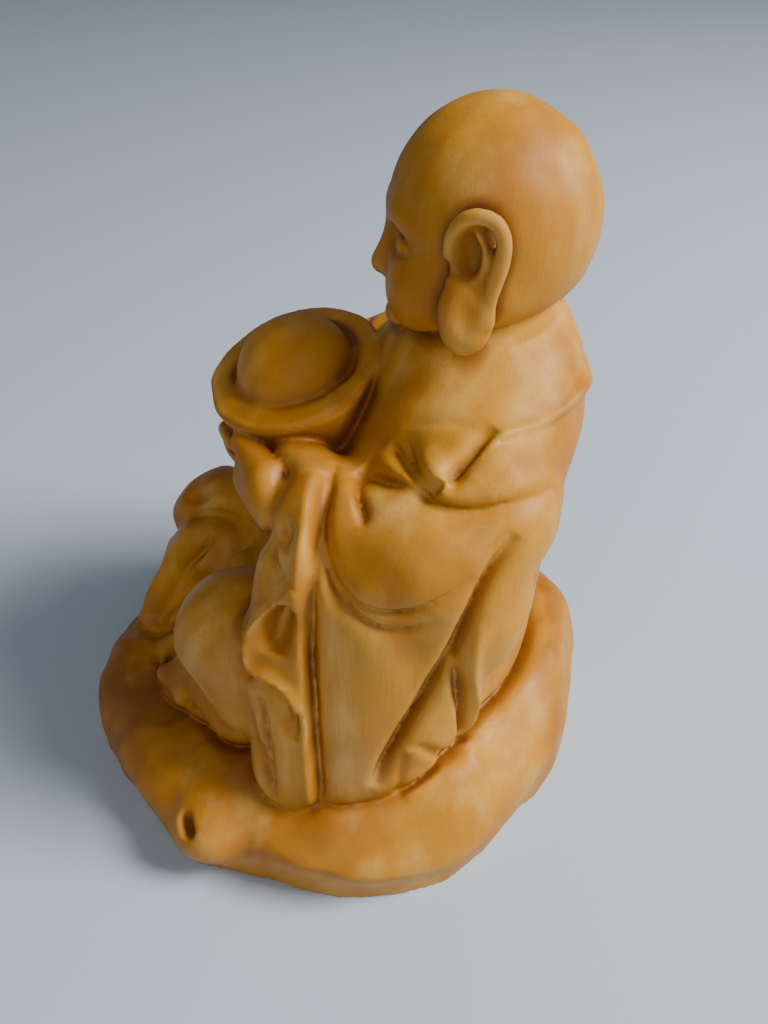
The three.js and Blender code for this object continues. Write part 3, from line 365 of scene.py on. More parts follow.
def head_shape(x, y, z):
    ax = np.abs(x)
    f = dig(melt(skull(x, y, z), crown(x, y, z), 2.5), eye_socket(ax, y, z), 1.4)
    for part, fillet in face_parts:
        f = melt(f, part(ax, y, z), fillet)
    return crease(f, ear_field(x, y, z), 0.35)


head_field = local(head_shape, (-13, 0, 55), (13, 25, 82))


# Vessel
BOWL_CENTRE = (0, -5.2, 54.0)
BOWL_TURN = (14, 10, 0)  # tipped forward and a little to the figure's left
BOWL_RADIUS = 9.45
BOWL_TALL = 9.8
BOWL_TAPER = 0.2
BOWL_LIP = 2.8
LIP_SLOPE = 0.12
DOME_RADIUS = 6.1
DOME_RISE = 5.0
DOME_SINK = 0.6
bowl_matrix = turn_matrix(BOWL_TURN).T


def bowl_field(x, y, z):
    """A round bowl with a sloping lip and a domed middle."""
    d = [v - c for v, c in zip((x, y, z), BOWL_CENTRE)]
    u, v, w = (row[0] * d[0] + row[1] * d[1] + row[2] * d[2] for row in bowl_matrix)
    r = np.hypot(u, v)
    belly = BOWL_RADIUS - BOWL_TAPER * np.maximum(0, -w) - 0.01 * np.maximum(0, -w) ** 2
    lip = -LIP_SLOPE * np.maximum(0, r - (BOWL_RADIUS - BOWL_LIP))
    f = -melt(-(r - belly), -(w - lip) * 0.97, 0.7)
    f = -melt(-f, BOWL_TALL + w, 2)
    cup = -melt(BOWL_RADIUS - BOWL_LIP - r, w + DOME_SINK + 0.2, 0.5)
    f = dig(f, cup, 0.6)
    dome = (np.hypot(r / DOME_RADIUS, (w + DOME_SINK) / DOME_RISE) - 1) * DOME_RISE
    return melt(f, dome, 1.0)


# Hands: the back of the hand and four fingers that close under the bowl
palm = [
    limb([12.8, -5.2, 46.0], [6.6, -10.0, 48.8], 3.0, 1.3),
    limb([12.8, -6.0, 44.8], [8.4, -9.8, 45.4], 2.6, 1.5),
    limb([10.5, -6.4, 46.2], [4.6, -9.0, 45.6], 3.0, 2.8),
]
FINGERS = [
    [[7.4, -9.8, 47.9], [5.4, -11.3, 47.9], [2.8, -12.4, 47.8]],
    [[7.8, -9.6, 46.6], [5.6, -11.0, 46.4], [2.6, -12.1, 46.2]],
    [[8.0, -9.2, 45.3], [5.8, -10.5, 45.0], [3.0, -11.4, 44.7]],
    [[8.0, -8.5, 44.1], [6.0, -9.6, 43.7], [4.0, -10.3, 43.4]],
]
fingers = [rod(path, 0.95, 0.85) for path in FINGERS]


def hand_shape(x, y, z):
    f = melt(melt(palm[0](x, y, z), palm[1](x, y, z), 2), palm[2](x, y, z), 1.5)
    for finger in fingers:
        f = crease(f, finger(x, y, z), 0.18)
    return f


hand_field = pair(local(hand_shape, (1, -16, 41), (17, -1, 54)))

# The roll of cloth under the left shin
SHIN_CLOTH = [
    [1.6, -25.2, 9.8], [5.4, -24.0, 10.2], [9.2, -21.2, 10.6], [11.4, -17.6, 11.2], [12.2, -13.6, 11.6],
]

# Masses: a field and how it meets what stands before it. A positive number is a fillet of that size,
# and a negative one a cut of that depth along the line where they meet
MASSES = [
    [body_field, 4],
    # bare shoulders, upper back, chest and belly
    [ball([0, 13.2, 51.5], [14.3, 10.0, 7.5]), 3],
    [ball([0, 1, 36], [13, 10.5, 12]), 4],
    [pair(ball([5, 5.5, 48], [5.5, 4, 4.5])), 2],
    [limb([0, 13.6, 52], [0, 13.4, 64], 8.2, 7.6), 4],
    # right knee and shin under the drape, and the lap
    [ball([-13.5, -15, 18.8], [9.0, 10.8, 10.2], [0, 0, -12]), 3],
    [limb([-12, -20, 14], [-8, -26, 7], 6.6, 5.2), 3],
    [ball([0, -8, 17], [15, 13, 10]), 4],
    [limb([12, -12, 13], [4, -20, 10], 5.6, 4.5), 3],
    [limb([9.6, -20.6, 12.0], [5.4, -23.8, 10.9], 1.9, 1.7), 1.5],
    # left knee and shin, and the fold of cloth under them
    [limb([13.0, -11.6, 27.6], [14.6, -10.6, 20.0], 7.3, 5.2), -0.8],
    [rod(SHIN_CLOTH, 2.2, 1.8, 3.0), 1.2],
    # cloth between the lapel and the forearm
    [pair(limb([9.4, 3.6, 47.4], [15.6, 8.2, 49.6], 3.0, 3.6)), 1.5],
    # arms: upper arm, elbow, forearm
    [pair(limb([15.2, 14, 48.0], [17.3, 8.5, 43.5], 6.4, 7.3)), 3],
    [pair(limb([17.3, 8.5, 43.5], [14.5, -2, 45.0], 7.1, 5.0)), 2],
    [pair(limb([14.2, -1.0, 45.0], [8.5, -4.6, 47.2], 4.8, 3.4)), 2],
    # sleeves, with the fall of cloth from the wrist
    [pair(limb([18.8, 3.6, 40], [19.0, 2, 13], 5.7, 6.6)), 2.5],
    [pair(limb([17.4, -1.0, 42], [19.6, -1.6, 13], 4.8, 5.6)), 2],
    [pair(limb([15.5, -3.0, 45], [18.4, -5.0, 33], 3.8, 4.0)), 1.5],
    [pair(limb([18.4, -5.0, 33], [20.8, -5.2, 11], 4.0, 4.6)), 1.5],
    [pair(limb([17.6, -6.0, 42], [18.6, -7.0, 34], 2.2, 2.8)), 1.5],
    [pair(limb([18.6, -7.0, 34], [20.6, -7.6, 11.5], 2.8, 3.5)), 1.5],
    # skirt of the robe behind the sleeve
    [pair(limb([17.4, 14.4, 46.5], [18.0, 12.4, 36], 4.4, 5.0)), 2.5],
    [pair(limb([18.0, 12.4, 38], [16.4, 7.4, 14], 5.2, 5.0)), 3],
    [pair(limb([18.8, 9.4, 38], [19.6, 6.8, 22], 4.6, 4.5)), 2.5],
    [pair(limb([19.6, 6.8, 22], [19.6, 4.0, 13], 4.5, 4.8)), 2],
    [rock_field, -0.75],
    [knot_bulge, 2.0],
    [hand_field, -0.5],
    [bowl_field, 0.5],
    [head_field, -0.5],
]


def ripple(x, y, z):
    """The slight unevenness that a knife leaves all over."""
    a = np.sin(1.1 * x + 0.6 * np.sin(0.7 * z)) * np.sin(0.9 * y + 0.4 * z)
    b = np.sin(0.45 * y - 0.8 * z + np.sin(0.6 * x)) * np.sin(0.5 * x + 0.35 * z)
    return 0.045 * a + 0.08 * b


def form(x, y, z):
    """The figure before the lines are cut."""
    f = np.full(np.shape(x), 1e3)
    for mass, meet in MASSES:
        g = mass(x, y, z)
        f = melt(f, g, meet) if meet > 0 else crease(f, g, -meet)
    return f + ripple(x, y, z)


# Cuts and folds
def slope_at(p, e=0.15):
    """The slope of the plain form at each row of p."""
    steps = []
    for axis in range(3):
        d = np.zeros(3)
        d[axis] = e
        steps.append((form(*(p + d).T) - form(*(p - d).T)) / (2 * e))
    return np.stack(steps, 1)


def settle_on(p):
    """Moves rough points to the nearest place on the surface of the plain form."""
    for _ in range(8):
        g = slope_at(p)
        step = np.clip(form(*p.T) / np.maximum((g * g).sum(1), 0.2), -1.5, 1.5)
        p = p - g * step[:, None]
    return p


def seen(pixels):
    """The points of the plain form that these pixels of the photograph show."""
    lift = math.radians(VIEW_LIFT)
    back = np.array([math.cos(lift), 0, math.sin(lift)])
    up = np.array([-math.sin(lift), 0, math.cos(lift)])
    across, down = (np.array(pixels, float) - VIEW_MIDDLE).T / VIEW_LENS
    ray = across[:, None] * np.array([0, 1, 0]) - down[:, None] * up - back
    ray /= np.linalg.norm(ray, axis=1)[:, None]
    eye = np.array(VIEW_AIM) + VIEW_DISTANCE * back
    far = np.full(len(ray), VIEW_START)
    for _ in range(VIEW_TRIES):
        gap = form(*(eye + far[:, None] * ray).T)
        if gap.max() < VIEW_CLOSE:
            break
        far += np.where(gap > VIEW_CLOSE, np.minimum(0.6 * gap, 2), 0)
    return eye + far[:, None] * ray


def placed(rough):
    """A run of points in millimetres. A pair of numbers in it is a pixel of the photograph."""
    pixels = [p for p in rough if len(p) == 2]
    shown = iter(seen(pixels) if pixels else ())
    return [list(next(shown)) if len(p) == 2 else p for p in rough]


class Line:
    """A cut along a run of points. It is deep at its middle line; right and left are its reach to either
    side, seen from outside while walking along it. A negative depth raises a fold instead. It thins out
    towards its ends, over the share of its length given by fade. A higher power rounds its middle."""

    def __init__(self, rough, depth, right, left, fade=(0.2, 0.2), power=1.3):
        points = settle_on(smooth_run(placed(rough), 1.0))
        self.start = points[:-1]
        self.along = np.diff(points, axis=0)
        self.normal = slope_at(points)
        self.normal /= np.linalg.norm(self.normal, axis=1)[:, None] + 1e-9
        self.side = np.cross(self.along, self.normal[:-1])
        self.l2 = (self.along**2).sum(1) + 1e-9
        self.depth, self.right, self.left, self.fade, self.power = depth, right, left, fade, power
        reach = 2.6 * max(right, left) + 0.4
        self.low, self.high = points.min(0) - reach, points.max(0) + reach

    def add_to(self, f, x, y, z):
        """Adds the cut to the field values f at the points, in place."""
        near = np.abs(f) < 5
        for v, low, high in zip((x, y, z), self.low, self.high):
            near &= (v > low) & (v < high)
        index = np.flatnonzero(near)
        for part in np.array_split(index, max(1, len(index) // 20000)):
            if len(part):
                f[part] += self.depth_at(np.stack((x[part], y[part], z[part]), 1))

    def depth_at(self, p):
        v = p[:, None, :] - self.start[None]
        t = np.clip((v * self.along).sum(2) / self.l2, 0, 1)
        d = v - self.along * t[..., None]
        best = (d * d).sum(2).argmin(1)
        rows = np.arange(len(p))
        d, t = d[rows, best], t[rows, best]
        normal = mix(self.normal[best], self.normal[best + 1], t[:, None])
        t = (best + t) / len(self.start)
        lift = (d * normal).sum(1) / np.linalg.norm(normal, axis=1)
        flat = np.sqrt(np.maximum((d * d).sum(1) - lift * lift, 0))
        width = np.where((d * self.side[best]).sum(1) > 0, self.right, self.left)
        start = np.clip(t / self.fade[0], 0, 1) if self.fade[0] else 1
        end = np.clip((1 - t) / self.fade[1], 0, 1) if self.fade[1] else 1
        across = np.exp(-((flat / width) ** self.power))
        return self.depth * np.sqrt(start * end) * across * np.exp(-((lift / 3) ** 4))


def flip(points):
    return [[-x, y, z] for x, y, z in points]


def both_sides(points, depth, right, left, fade=(0.2, 0.2), power=1.3):
    """The same line on both sides of the figure."""
    points = placed(points)
    line = Line(points, depth, right, left, fade, power)
    return [line, Line(flip(points), depth, left, right, fade, power)]


# The carved lines. A pair of numbers is a pixel of the photograph, and three are millimetres on the figure
COLLAR = [
    [0, 24.2, 54.2], [3, 23.9, 54.4], [5.4, 23.2, 54.9], [577, 392], [565, 407], [547, 420], [528, 429],
    [512, 433], [497, 438], [485, 447], [472, 460], [460, 473], [452, 482],
]
COLLAR_BACK = [[0, 24.2, 54.2], [3, 23.9, 54.4], [5.4, 23.2, 54.9], [577, 392], [565, 407], [547, 420]]
COLLAR_INSIDE = [
    [0, 23.6, 55.6], [3, 23.3, 55.8], [5.6, 22.4, 56.2], [575, 379], [566, 398], [551, 413], [530, 423],
    [510, 428], [495, 431],
]
COLLAR_OUTER = [[574, 406], [553, 424], [523, 435], [501, 442], [479, 460], [456, 482], [447, 491]]
NECKLINE = [[490, 431], [468, 426], [447, 422], [431, 423], [415, 425], [402, 428]]
LAPEL_BACK = [[498, 431], [484, 441], [471, 455], [458, 468], [448, 480]]
LAPEL_FRONT = [[391, 443], [405, 468], [418, 486], [430, 497]]
LAPEL_SEAM = [[400, 438], [412, 459], [424, 476], [435, 486], [441, 489]]
CAPE = [
    [362, 466], [378, 472], [399, 481], [415, 490], [431, 499], [451, 507], [472, 509], [495, 506],
    [520, 500], [541, 494], [556, 485],
]
FRONT_CUT = [[358, 468], [358, 488], [361, 509], [362, 526]]
FRONT_LIP = [[348, 490], [353, 508], [357, 522]]
ELBOW_OUTER = [
    [337, 462], [329, 484], [323, 510], [321, 535], [323, 556], [329, 583], [341, 608], [360, 624],
    [383, 633], [404, 634], [424, 628], [438, 619],
]
ELBOW_INNER = [
    [326, 545], [330, 567], [338, 588], [352, 604], [370, 613], [394, 617], [415, 614], [436, 605],
    [457, 592], [474, 576],
]
ARMPIT = [
    [518, 536], [504, 556], [488, 583], [473, 614], [457, 646], [440, 674], [422, 704], [404, 731],
    [388, 758], [374, 787],
]
SKIRT_CUT = [[453, 655], [458, 684], [463, 706], [21, 12.8, 21], [20.2, 13, 16.8]]
SKIRT_RIGHT = [[482, 625], [475, 658], [473, 684], [474, 707], [469, 742]]
CORNER_TOP = [[409, 752], [420, 749], [23.8, 9.2, 20.5], [22.6, 10.4, 18], [21.6, 11.4, 16]]
CORNER_SIDE = [[406, 754], [401, 775], [398, 796]]
CORNER_FOLD = [[404, 798], [420, 787], [436, 774], [452, 762]]
SLEEVE_RIDGE = [
    [318, 470], [311, 486], [306, 521], [302, 550], [299, 585], [299, 620], [301, 660], [303, 705],
    [306, 750], [309, 788], [311, 804],
]
SLEEVE_CUT = [
    [326, 468], [320, 495], [315, 530], [311, 570], [309, 610], [310, 650], [312, 690], [315, 730],
    [318, 765], [320, 792], [321, 806],
]
CUFF = [[287, 466], [279, 482], [273, 500], [270, 530], [271, 555], [276, 571], [284, 580]]
CUFF_DENT = [[289, 520], [284, 534], [279, 548]]
CURL = [
    [296, 586], [285, 595], [271, 605], [260, 617], [253, 633], [250, 651], [255, 664], [266, 671],
    [280, 680], [292, 693], [297, 712],
]
CURL_HOLLOW = [[289, 603], [281, 618], [275, 637], [272, 655]]
CURL_UNDER = [[262, 679], [276, 688], [288, 702], [294, 718], [297, 740]]
SLEEVE_EDGE = [[254, 690], [258, 712], [263, 738], [267, 766], [268, 790]]
SLEEVE_EDGE_2 = [[249, 705], [252, 730], [257, 752], [263, 780]]
KNEE_SIDE = [[244, 630], [244, 645], [246, 662], [250, 680]]
DRAPE_TOP = [[184, 497], [197, 494], [212, 491]]
DRAPE_SECOND = [[182, 514], [196, 511], [212, 511], [240, 514]]
DRAPE_VALLEY = [
    [246, 532], [228, 548], [214, 559], [204, 569], [191, 582], [176, 598], [164, 612], [155, 630],
]
DRAPE_RIM = [[184, 515], [187, 530], [178, 545], [168, 562], [157, 583], [146, 606], [136, 626]]
DRAPE_THIRD = [[212, 532], [200, 549], [182, 568], [170, 586], [158, 606]]
LEAF = [[174, 700], [189, 708], [12.6, -17, 12.6], [13.4, -14.4, 12.8]]
KNOT = [[184, 819], [186, 831]]
LAP_FOLDS = [
    [[8, -13.4, 27.3], [0, -15.5, 25.5], [-4, -20, 19], [-6, -25, 13], [-6, -29, 9]],
    [[4, -12, 27], [-5, -14, 27.5], [-10, -18, 25], [-14, -23, 18], [-15, -26, 11]],
    [[-4, -9, 29], [-10, -10, 30], [-16, -14, 28], [-20, -18, 20]],
    [[2, -19, 20], [1, -24, 13], [2, -27, 9]],
]
HEM_FOLD = [[-8, -28, 9.5], [0, -26.6, 10], [6, -24, 10.5], [11.4, -18.7, 12]]
BACK_FOLDS = [
    [[-16, 19, 46], [-10, 23, 40], [-2, 24, 33], [8, 23, 27]],
    [[16, 19, 44], [12, 22, 36], [9, 23.5, 28], [7, 23.5, 21]],
    [[-14, 20.5, 38], [-12, 22.5, 30], [-11, 22.5, 21]],
]
EYE_LINE = [
    [1.5, 5.9, EYE_Z - 0.5], [2.8, 5.1, EYE_Z - 1.0], [4.4, 5.3, EYE_Z - 1.0], [5.8, 6.5, EYE_Z - 0.4],
]
LID_FOLD = [
    [1.4, 5.7, EYE_Z + 0.5], [3.2, 4.8, EYE_Z + 1.0], [5.0, 5.5, EYE_Z + 0.8], [6.2, 7.1, EYE_Z - 0.1],
]
MOUTH = [[0, 4.3, MOUTH_Z], [1.4, 4.6, MOUTH_Z + 0.05], [2.7, 5.5, MOUTH_Z + 0.3]]
CHEEK_FOLD = [[1.9, 4.5, NOSE_BASE_Z + 0.6], [2.9, 4.8, NOSE_BASE_Z - 0.8], [3.5, 5.3, MOUTH_Z + 0.4]]
NECK_FOLD = [[0, 21.0, 61.4], [5, 19.4, 60.8], [7.6, 15.5, 60.0]]


def all_lines():
    """Every cut and raised fold: path, depth, reach to the right and left, ends, roundness."""
    lines = [
        both_sides(EYE_LINE, 0.4, 0.25, 0.25, (0.1, 0.1)),
        both_sides(LID_FOLD, 0.3, 0.25, 0.25),
        both_sides(MOUTH, 0.45, 0.3, 0.3, (0, 0.2)),
        both_sides(CHEEK_FOLD, 0.25, 0.5, 0.4),
        both_sides(NECK_FOLD, 0.4, 0.6, 0.6, (0, 0.3)),
        both_sides(COLLAR, -0.8, 0.8, 0.8, (0.45, 0.25), 2),
        both_sides(COLLAR_BACK, -0.32, 0.8, 0.8, (0, 0.6), 2),
        both_sides(COLLAR_INSIDE, 0.42, 0.6, 1.1, (0, 0.2), 1.2),
        both_sides(COLLAR_OUTER, 0.45, 0.5, 0.5, (0.1, 0.05), 1.2),
        both_sides(NECKLINE, 0.3, 0.9, 0.6, (0.2, 0.3), 1.2),
        both_sides(LAPEL_BACK, 1.5, 0.95, 0.6, (0.4, 0.1), 1.4),
        both_sides(LAPEL_FRONT, 1.15, 0.6, 0.6, (0.12, 0.1), 1.3),
        both_sides(LAPEL_SEAM, 1, 0.55, 0.6, (0.15, 0.05), 1.3),
        both_sides(CAPE, 1.25, 2, 0.53, (0.05, 0.35), 1.2),
        both_sides(FRONT_CUT, 1.15, 0.55, 0.55, (0.2, 0.2), 1.2),
        both_sides(FRONT_LIP, -0.35, 0.6, 0.5, (0.4, 0.4), 1.5),
        both_sides(ELBOW_OUTER, 1.2, 0.8, 0.6, (0.15, 0.25), 1.1),
        both_sides(ELBOW_INNER, 0.9, 0.6, 0.55, (0.3, 0.4), 1.2),
        both_sides(ARMPIT, 1.7, 0.65, 0.8, (0.2, 0.12), 1.6),
        both_sides(SKIRT_CUT, 1.3, 0.65, 0.75, (0.35, 0.1), 1.6),
        both_sides(SKIRT_RIGHT, -0.7, 0.8, 0.7, (0.3, 0), 1.6),
        [Line(CORNER_TOP, 0.9, 0.6, 0.8, (0.4, 0.1), 1.6)],
        [Line(CORNER_SIDE, 0.5, 0.6, 0.55, (0.1, 0.1), 1.3)],
        [Line(CORNER_FOLD, -0.5, 0.8, 0.8, (0.2, 0.2), 1.5)],
        both_sides(SLEEVE_RIDGE, -0.75, 1, 0.7, (0.1, 0.04), 1.6),
        both_sides(SLEEVE_CUT, 1, 0.62, 0.7, (0.1, 0.04), 1.4),
        both_sides(CUFF, 0.9, 1.2, 0.49, (0.1, 0.1), 1.3),
        both_sides(CUFF_DENT, 1.1, 0.8, 0.9, (0.3, 0.3), 2),
        both_sides(CURL, -1.2, 0.8, 0.7, (0.15, 0.1), 1.6),
        both_sides(CURL_HOLLOW, 1.7, 1.2, 1.3, (0.25, 0.25), 2),
        both_sides(CURL_UNDER, 1.5, 1.2, 0.55, (0.15, 0.2), 1.3),
        both_sides(SLEEVE_EDGE, 1.2, 0.65, 0.8, (0.2, 0), 1.4),
        both_sides(SLEEVE_EDGE_2, 0.95, 0.55, 0.6, (0.3, 0), 1.4),
        [Line(KNEE_SIDE, 0.8, 0.7, 0.7, (0.4, 0.2), 1.4)],
        [Line(DRAPE_TOP, 1.3, 1, 0.8, (0.3, 0.3), 1.6)],
        [Line(DRAPE_SECOND, 1.2, 1, 0.8, (0.2, 0.3), 1.6)],
        [Line(DRAPE_VALLEY, 1.9, 1.2, 1, (0.1, 0.1), 1.6)],
        [Line(DRAPE_RIM, -0.8, 0.8, 0.8, (0.2, 0.1), 1.7)],
        [Line(DRAPE_THIRD, 1.4, 0.9, 0.8, (0.2, 0.2), 1.6)],
        [Line(LEAF, 0.75, 0.7, 0.6, (0.4, 0.25), 1.4)],
        [Line(KNOT, 2.4, 0.75, 0.75, (0, 0), 2.6)],
        [Line(path, 1.3, 1.4, 1.4, (0.2, 0.2), 1.6) for path in LAP_FOLDS],
        [Line(path, 0.8, 1.6, 0.7, (0.25, 0.25), 1.5) for path in BACK_FOLDS],
        [Line(HEM_FOLD, 0.9, 0.9, 1.4)],
    ]
    return [line for group in lines for line in group]


def carving_field():
    """The whole figure, with its cuts, standing on a flat underside."""
    lines = all_lines()

    def field(x, y, z):
        f = form(x, y, z)
        for line in lines:
            line.add_to(f, x, y, z)
        return np.maximum(f, -z)

    return field


# Surface of the field
LOW, HIGH = np.array([-36.0, -42.0, -3.0]), np.array([36.0, 38.0, 83.0])


def sample(field, cell):
    """Field values on a grid. It is halved from 8 cells to 1, and only blocks near the surface go on."""
    blocks = np.ceil((HIGH - LOW) / cell / 8).astype(int)
    values = near = None
    for size in (8, 4, 2, 1):
        if values is None:
            values, near = np.zeros(blocks), np.ones(blocks, bool)
        else:
            for axis in range(3):
                values, near = values.repeat(2, axis), near.repeat(2, axis)
        where = np.argwhere(near)
        p = LOW + (where * size + (size - 1) / 2) * cell
        values[near] = field(p[:, 0].copy(), p[:, 1].copy(), p[:, 2].copy())
        near = np.abs(values) < (size * 0.87 * 2.0 + 0.5) * cell + (1.2 if size > 1 else 0)
    return values


def corner(a, i, j, k):
    """The view of a grid that holds one corner of each of its cubes."""
    n = a.shape
    return a[i : n[0] - 1 + i, j : n[1] - 1 + j, k : n[2] - 1 + k]


CORNERS = [(i, j, k) for i in (0, 1) for j in (0, 1) for k in (0, 1)]


def untangle(values, cell):
    """Fills grid corners until no face or cube of the grid is met by the surface in two separate sheets."""
    for _ in range(12):
        inside = values < 0
        wanted = np.zeros_like(inside)
        for a in range(3):
            u, v = np.eye(3, dtype=int)[(a + 1) % 3], np.eye(3, dtype=int)[(a + 2) % 3]
            n = np.array(values.shape) - u - v
            cut = lambda o: inside[tuple(slice(o[q], o[q] + n[q]) for q in range(3))]
            s0, s1, s2, s3 = cut([0, 0, 0]), cut(u), cut(u + v), cut(v)
            tangled = (s0 == s2) & (s1 == s3) & (s0 != s1)
            for mask, o in ((tangled & s0, u), (tangled & ~s0, np.zeros(3, int))):
                wanted[tuple(slice(o[q], o[q] + n[q]) for q in range(3))] |= mask
        count = sum(corner(inside, *c).astype(np.int8) for c in CORNERS)
        for c in CORNERS[:4]:
            other = tuple(1 - q for q in c)
            same = corner(inside, *c) == corner(inside, *other)
            two = same & (count == 2) & corner(inside, *c)
            six = same & (count == 6) & ~corner(inside, *c)
            beside = (1 - c[0], c[1], c[2])
            corner(wanted, *beside)[two] = True
            corner(wanted, *c)[six] = True
        wanted &= ~inside
        if not wanted.any():
            return
        values[wanted] = -0.05 * cell
    raise RuntimeError("the grid is still tangled")


def surface(values, cell):
    """One vertex for each cube that the surface crosses and one four-sided face for each grid edge."""
    inside = values < 0
    count = sum(corner(inside, *c).astype(np.int8) for c in CORNERS)
    cubes = np.argwhere((count > 0) & (count < 8))
    number = np.full(np.array(values.shape) - 1, -1, np.int32)
    number[tuple(cubes.T)] = np.arange(len(cubes))
    total, hits = np.zeros((len(cubes), 3)), np.zeros(len(cubes))
    for c in CORNERS:
        for axis in range(3):
            if c[axis]:
                continue
            d = list(c)
            d[axis] = 1
            va, vb = (values[tuple((cubes + q).T)] for q in (c, d))
            crossed = (va < 0) != (vb < 0)
            t = np.where(crossed, va / np.where(crossed, va - vb, 1), 0)
            for q in range(3):
                total[:, q] += np.where(crossed, c[q] + (t if q == axis else 0), 0)
            hits += crossed
    points = LOW + (cubes + total / hits[:, None]) * cell
    faces = []
    for axis in range(3):
        step = np.eye(3, dtype=int)[axis]
        n = np.array(values.shape) - step
        here = inside[: n[0], : n[1], : n[2]]
        there = inside[step[0] :, step[1] :, step[2] :]
        edge = np.argwhere(here != there)
        u, v = np.eye(3, dtype=int)[(axis + 1) % 3], np.eye(3, dtype=int)[(axis + 2) % 3]
        ring = np.stack([number[tuple((edge - o).T)] for o in (u + v, v, 0 * u, u)], 1)
        out = here[tuple(edge.T)]
        ring[~out] = ring[~out][:, ::-1]
        faces.append(ring)
    return points, np.concatenate(faces)


def largest_shell(points, faces):
    """Drops the walls of hidden hollows and loose crumbs: only the largest connected shell stays."""
    label = np.arange(len(points))
    while True:
        lowest = label[faces].min(1)
        new = label.copy()
        for column in range(4):
            np.minimum.at(new, faces[:, column], lowest)
        new = new[new]
        if (new == label).all():
            break
        label = new
    names, sizes = np.unique(label, return_counts=True)
    keep = label == names[sizes.argmax()]
    order = np.cumsum(keep) - 1
    return points[keep], order[faces[keep[faces[:, 0]]]]


# Settings that a user would change
def linear(hex_colour):
    """The linear colour of an sRGB hex colour."""
    parts = (int(hex_colour[i : i + 2], 16) / 255 for i in (1, 3, 5))
    return tuple(c / 12.92 if c <= 0.04045 else ((c + 0.055) / 1.055) ** 2.4 for c in parts)


def colour_property(name, description, hex_colour):
    return bpy.props.FloatVectorProperty(
        name=name, description=description, subtype="COLOR", size=3, min=0, max=1, default=linear(hex_colour)
    )


class FigureSizes(bpy.types.PropertyGroup):
    grid: bpy.props.FloatProperty(
        name="Carving grid",
        description="Spacing of the grid that the carving is sampled on",
        default=0.0003,
        min=0.0002,
        unit="LENGTH",
    )
    faces: bpy.props.IntProperty(
        name="Faces",
        description="Triangles kept on the finished carving",
        default=190000,
        min=20000,
        max=199000,
    )


class FigureColours(bpy.types.PropertyGroup):
    wood: colour_property("Wood", "Scraped boxwood, the general tone", "#BD8119")
    pale: colour_property("Pale wood", "Worn edges and open surfaces", "#D9B367")
    # The deep tone also serves as painted shade beside the folds. The recess colour is painted shade in the
    # cuts, together with some old wax and dust.
    deep: colour_property("Deep tone", "Darker clouds in the wood", "#9E5F0C")
    recess_shade_and_wax: colour_property("Recess", "Old wax and dust in the cuts", "#6A3606")
    stain: colour_property("Stain", "Reddish brown heartwood stain", "#7C3A14")
    floor: colour_property("Floor", "Pale studio floor", "#B2BFCE")


# Material helpers
def add_node(tree, kind, settings=None, links=None):
    """Adds a node, sets its properties and unlinked sockets by name, and links sockets to outputs."""
    node = tree.nodes.new(kind)
    for key, value in (settings or {}).items():
        if isinstance(key, str) and hasattr(node, key):
            setattr(node, key, value)
        else:
            node.inputs[key].default_value = value
    for key, output in (links or {}).items():
        tree.links.new(output, node.inputs[key])
    return node


def blend_colour(tree, factor, a, b, kind="MIX"):
    """Mixes two colours, each a plain colour or an output."""
    node = add_node(tree, "ShaderNodeMix", {"data_type": "RGBA", "blend_type": kind})
    for socket, value in ((0, factor), (6, a), (7, b)):
        if isinstance(value, bpy.types.NodeSocket):
            tree.links.new(value, node.inputs[socket])
        else:
            node.inputs[socket].default_value = (*value, 1) if socket else value
    return node.outputs[2]


def spread(tree, value, low, high, to_low=0.0, to_high=1.0):
    """Stretches a value from the range low to high onto another range."""
    settings = {"interpolation_type": "SMOOTHSTEP"}
    settings.update({"From Min": low, "From Max": high, "To Min": to_low, "To Max": to_high})
    return add_node(tree, "ShaderNodeMapRange", settings, {"Value": value}).outputs["Result"]


# Marks in the wood: the size of each in millimetres
CLOUD = 11
SMALL_CLOUD = 5
FIBRE = 0.28
FIBRE_STRETCH = 34  # how many times longer than wide a fibre is
SCRAPE = 1.1
SHEEN = 3.0
RELIEF = 0.00006  # metres that a noise value of 1 stands out
RING_SHIFT = (46, 30, 0)  # moves the middle of the growth rings out of the block
RING_SCALE = 0.105  # puts the rings about 3 mm apart


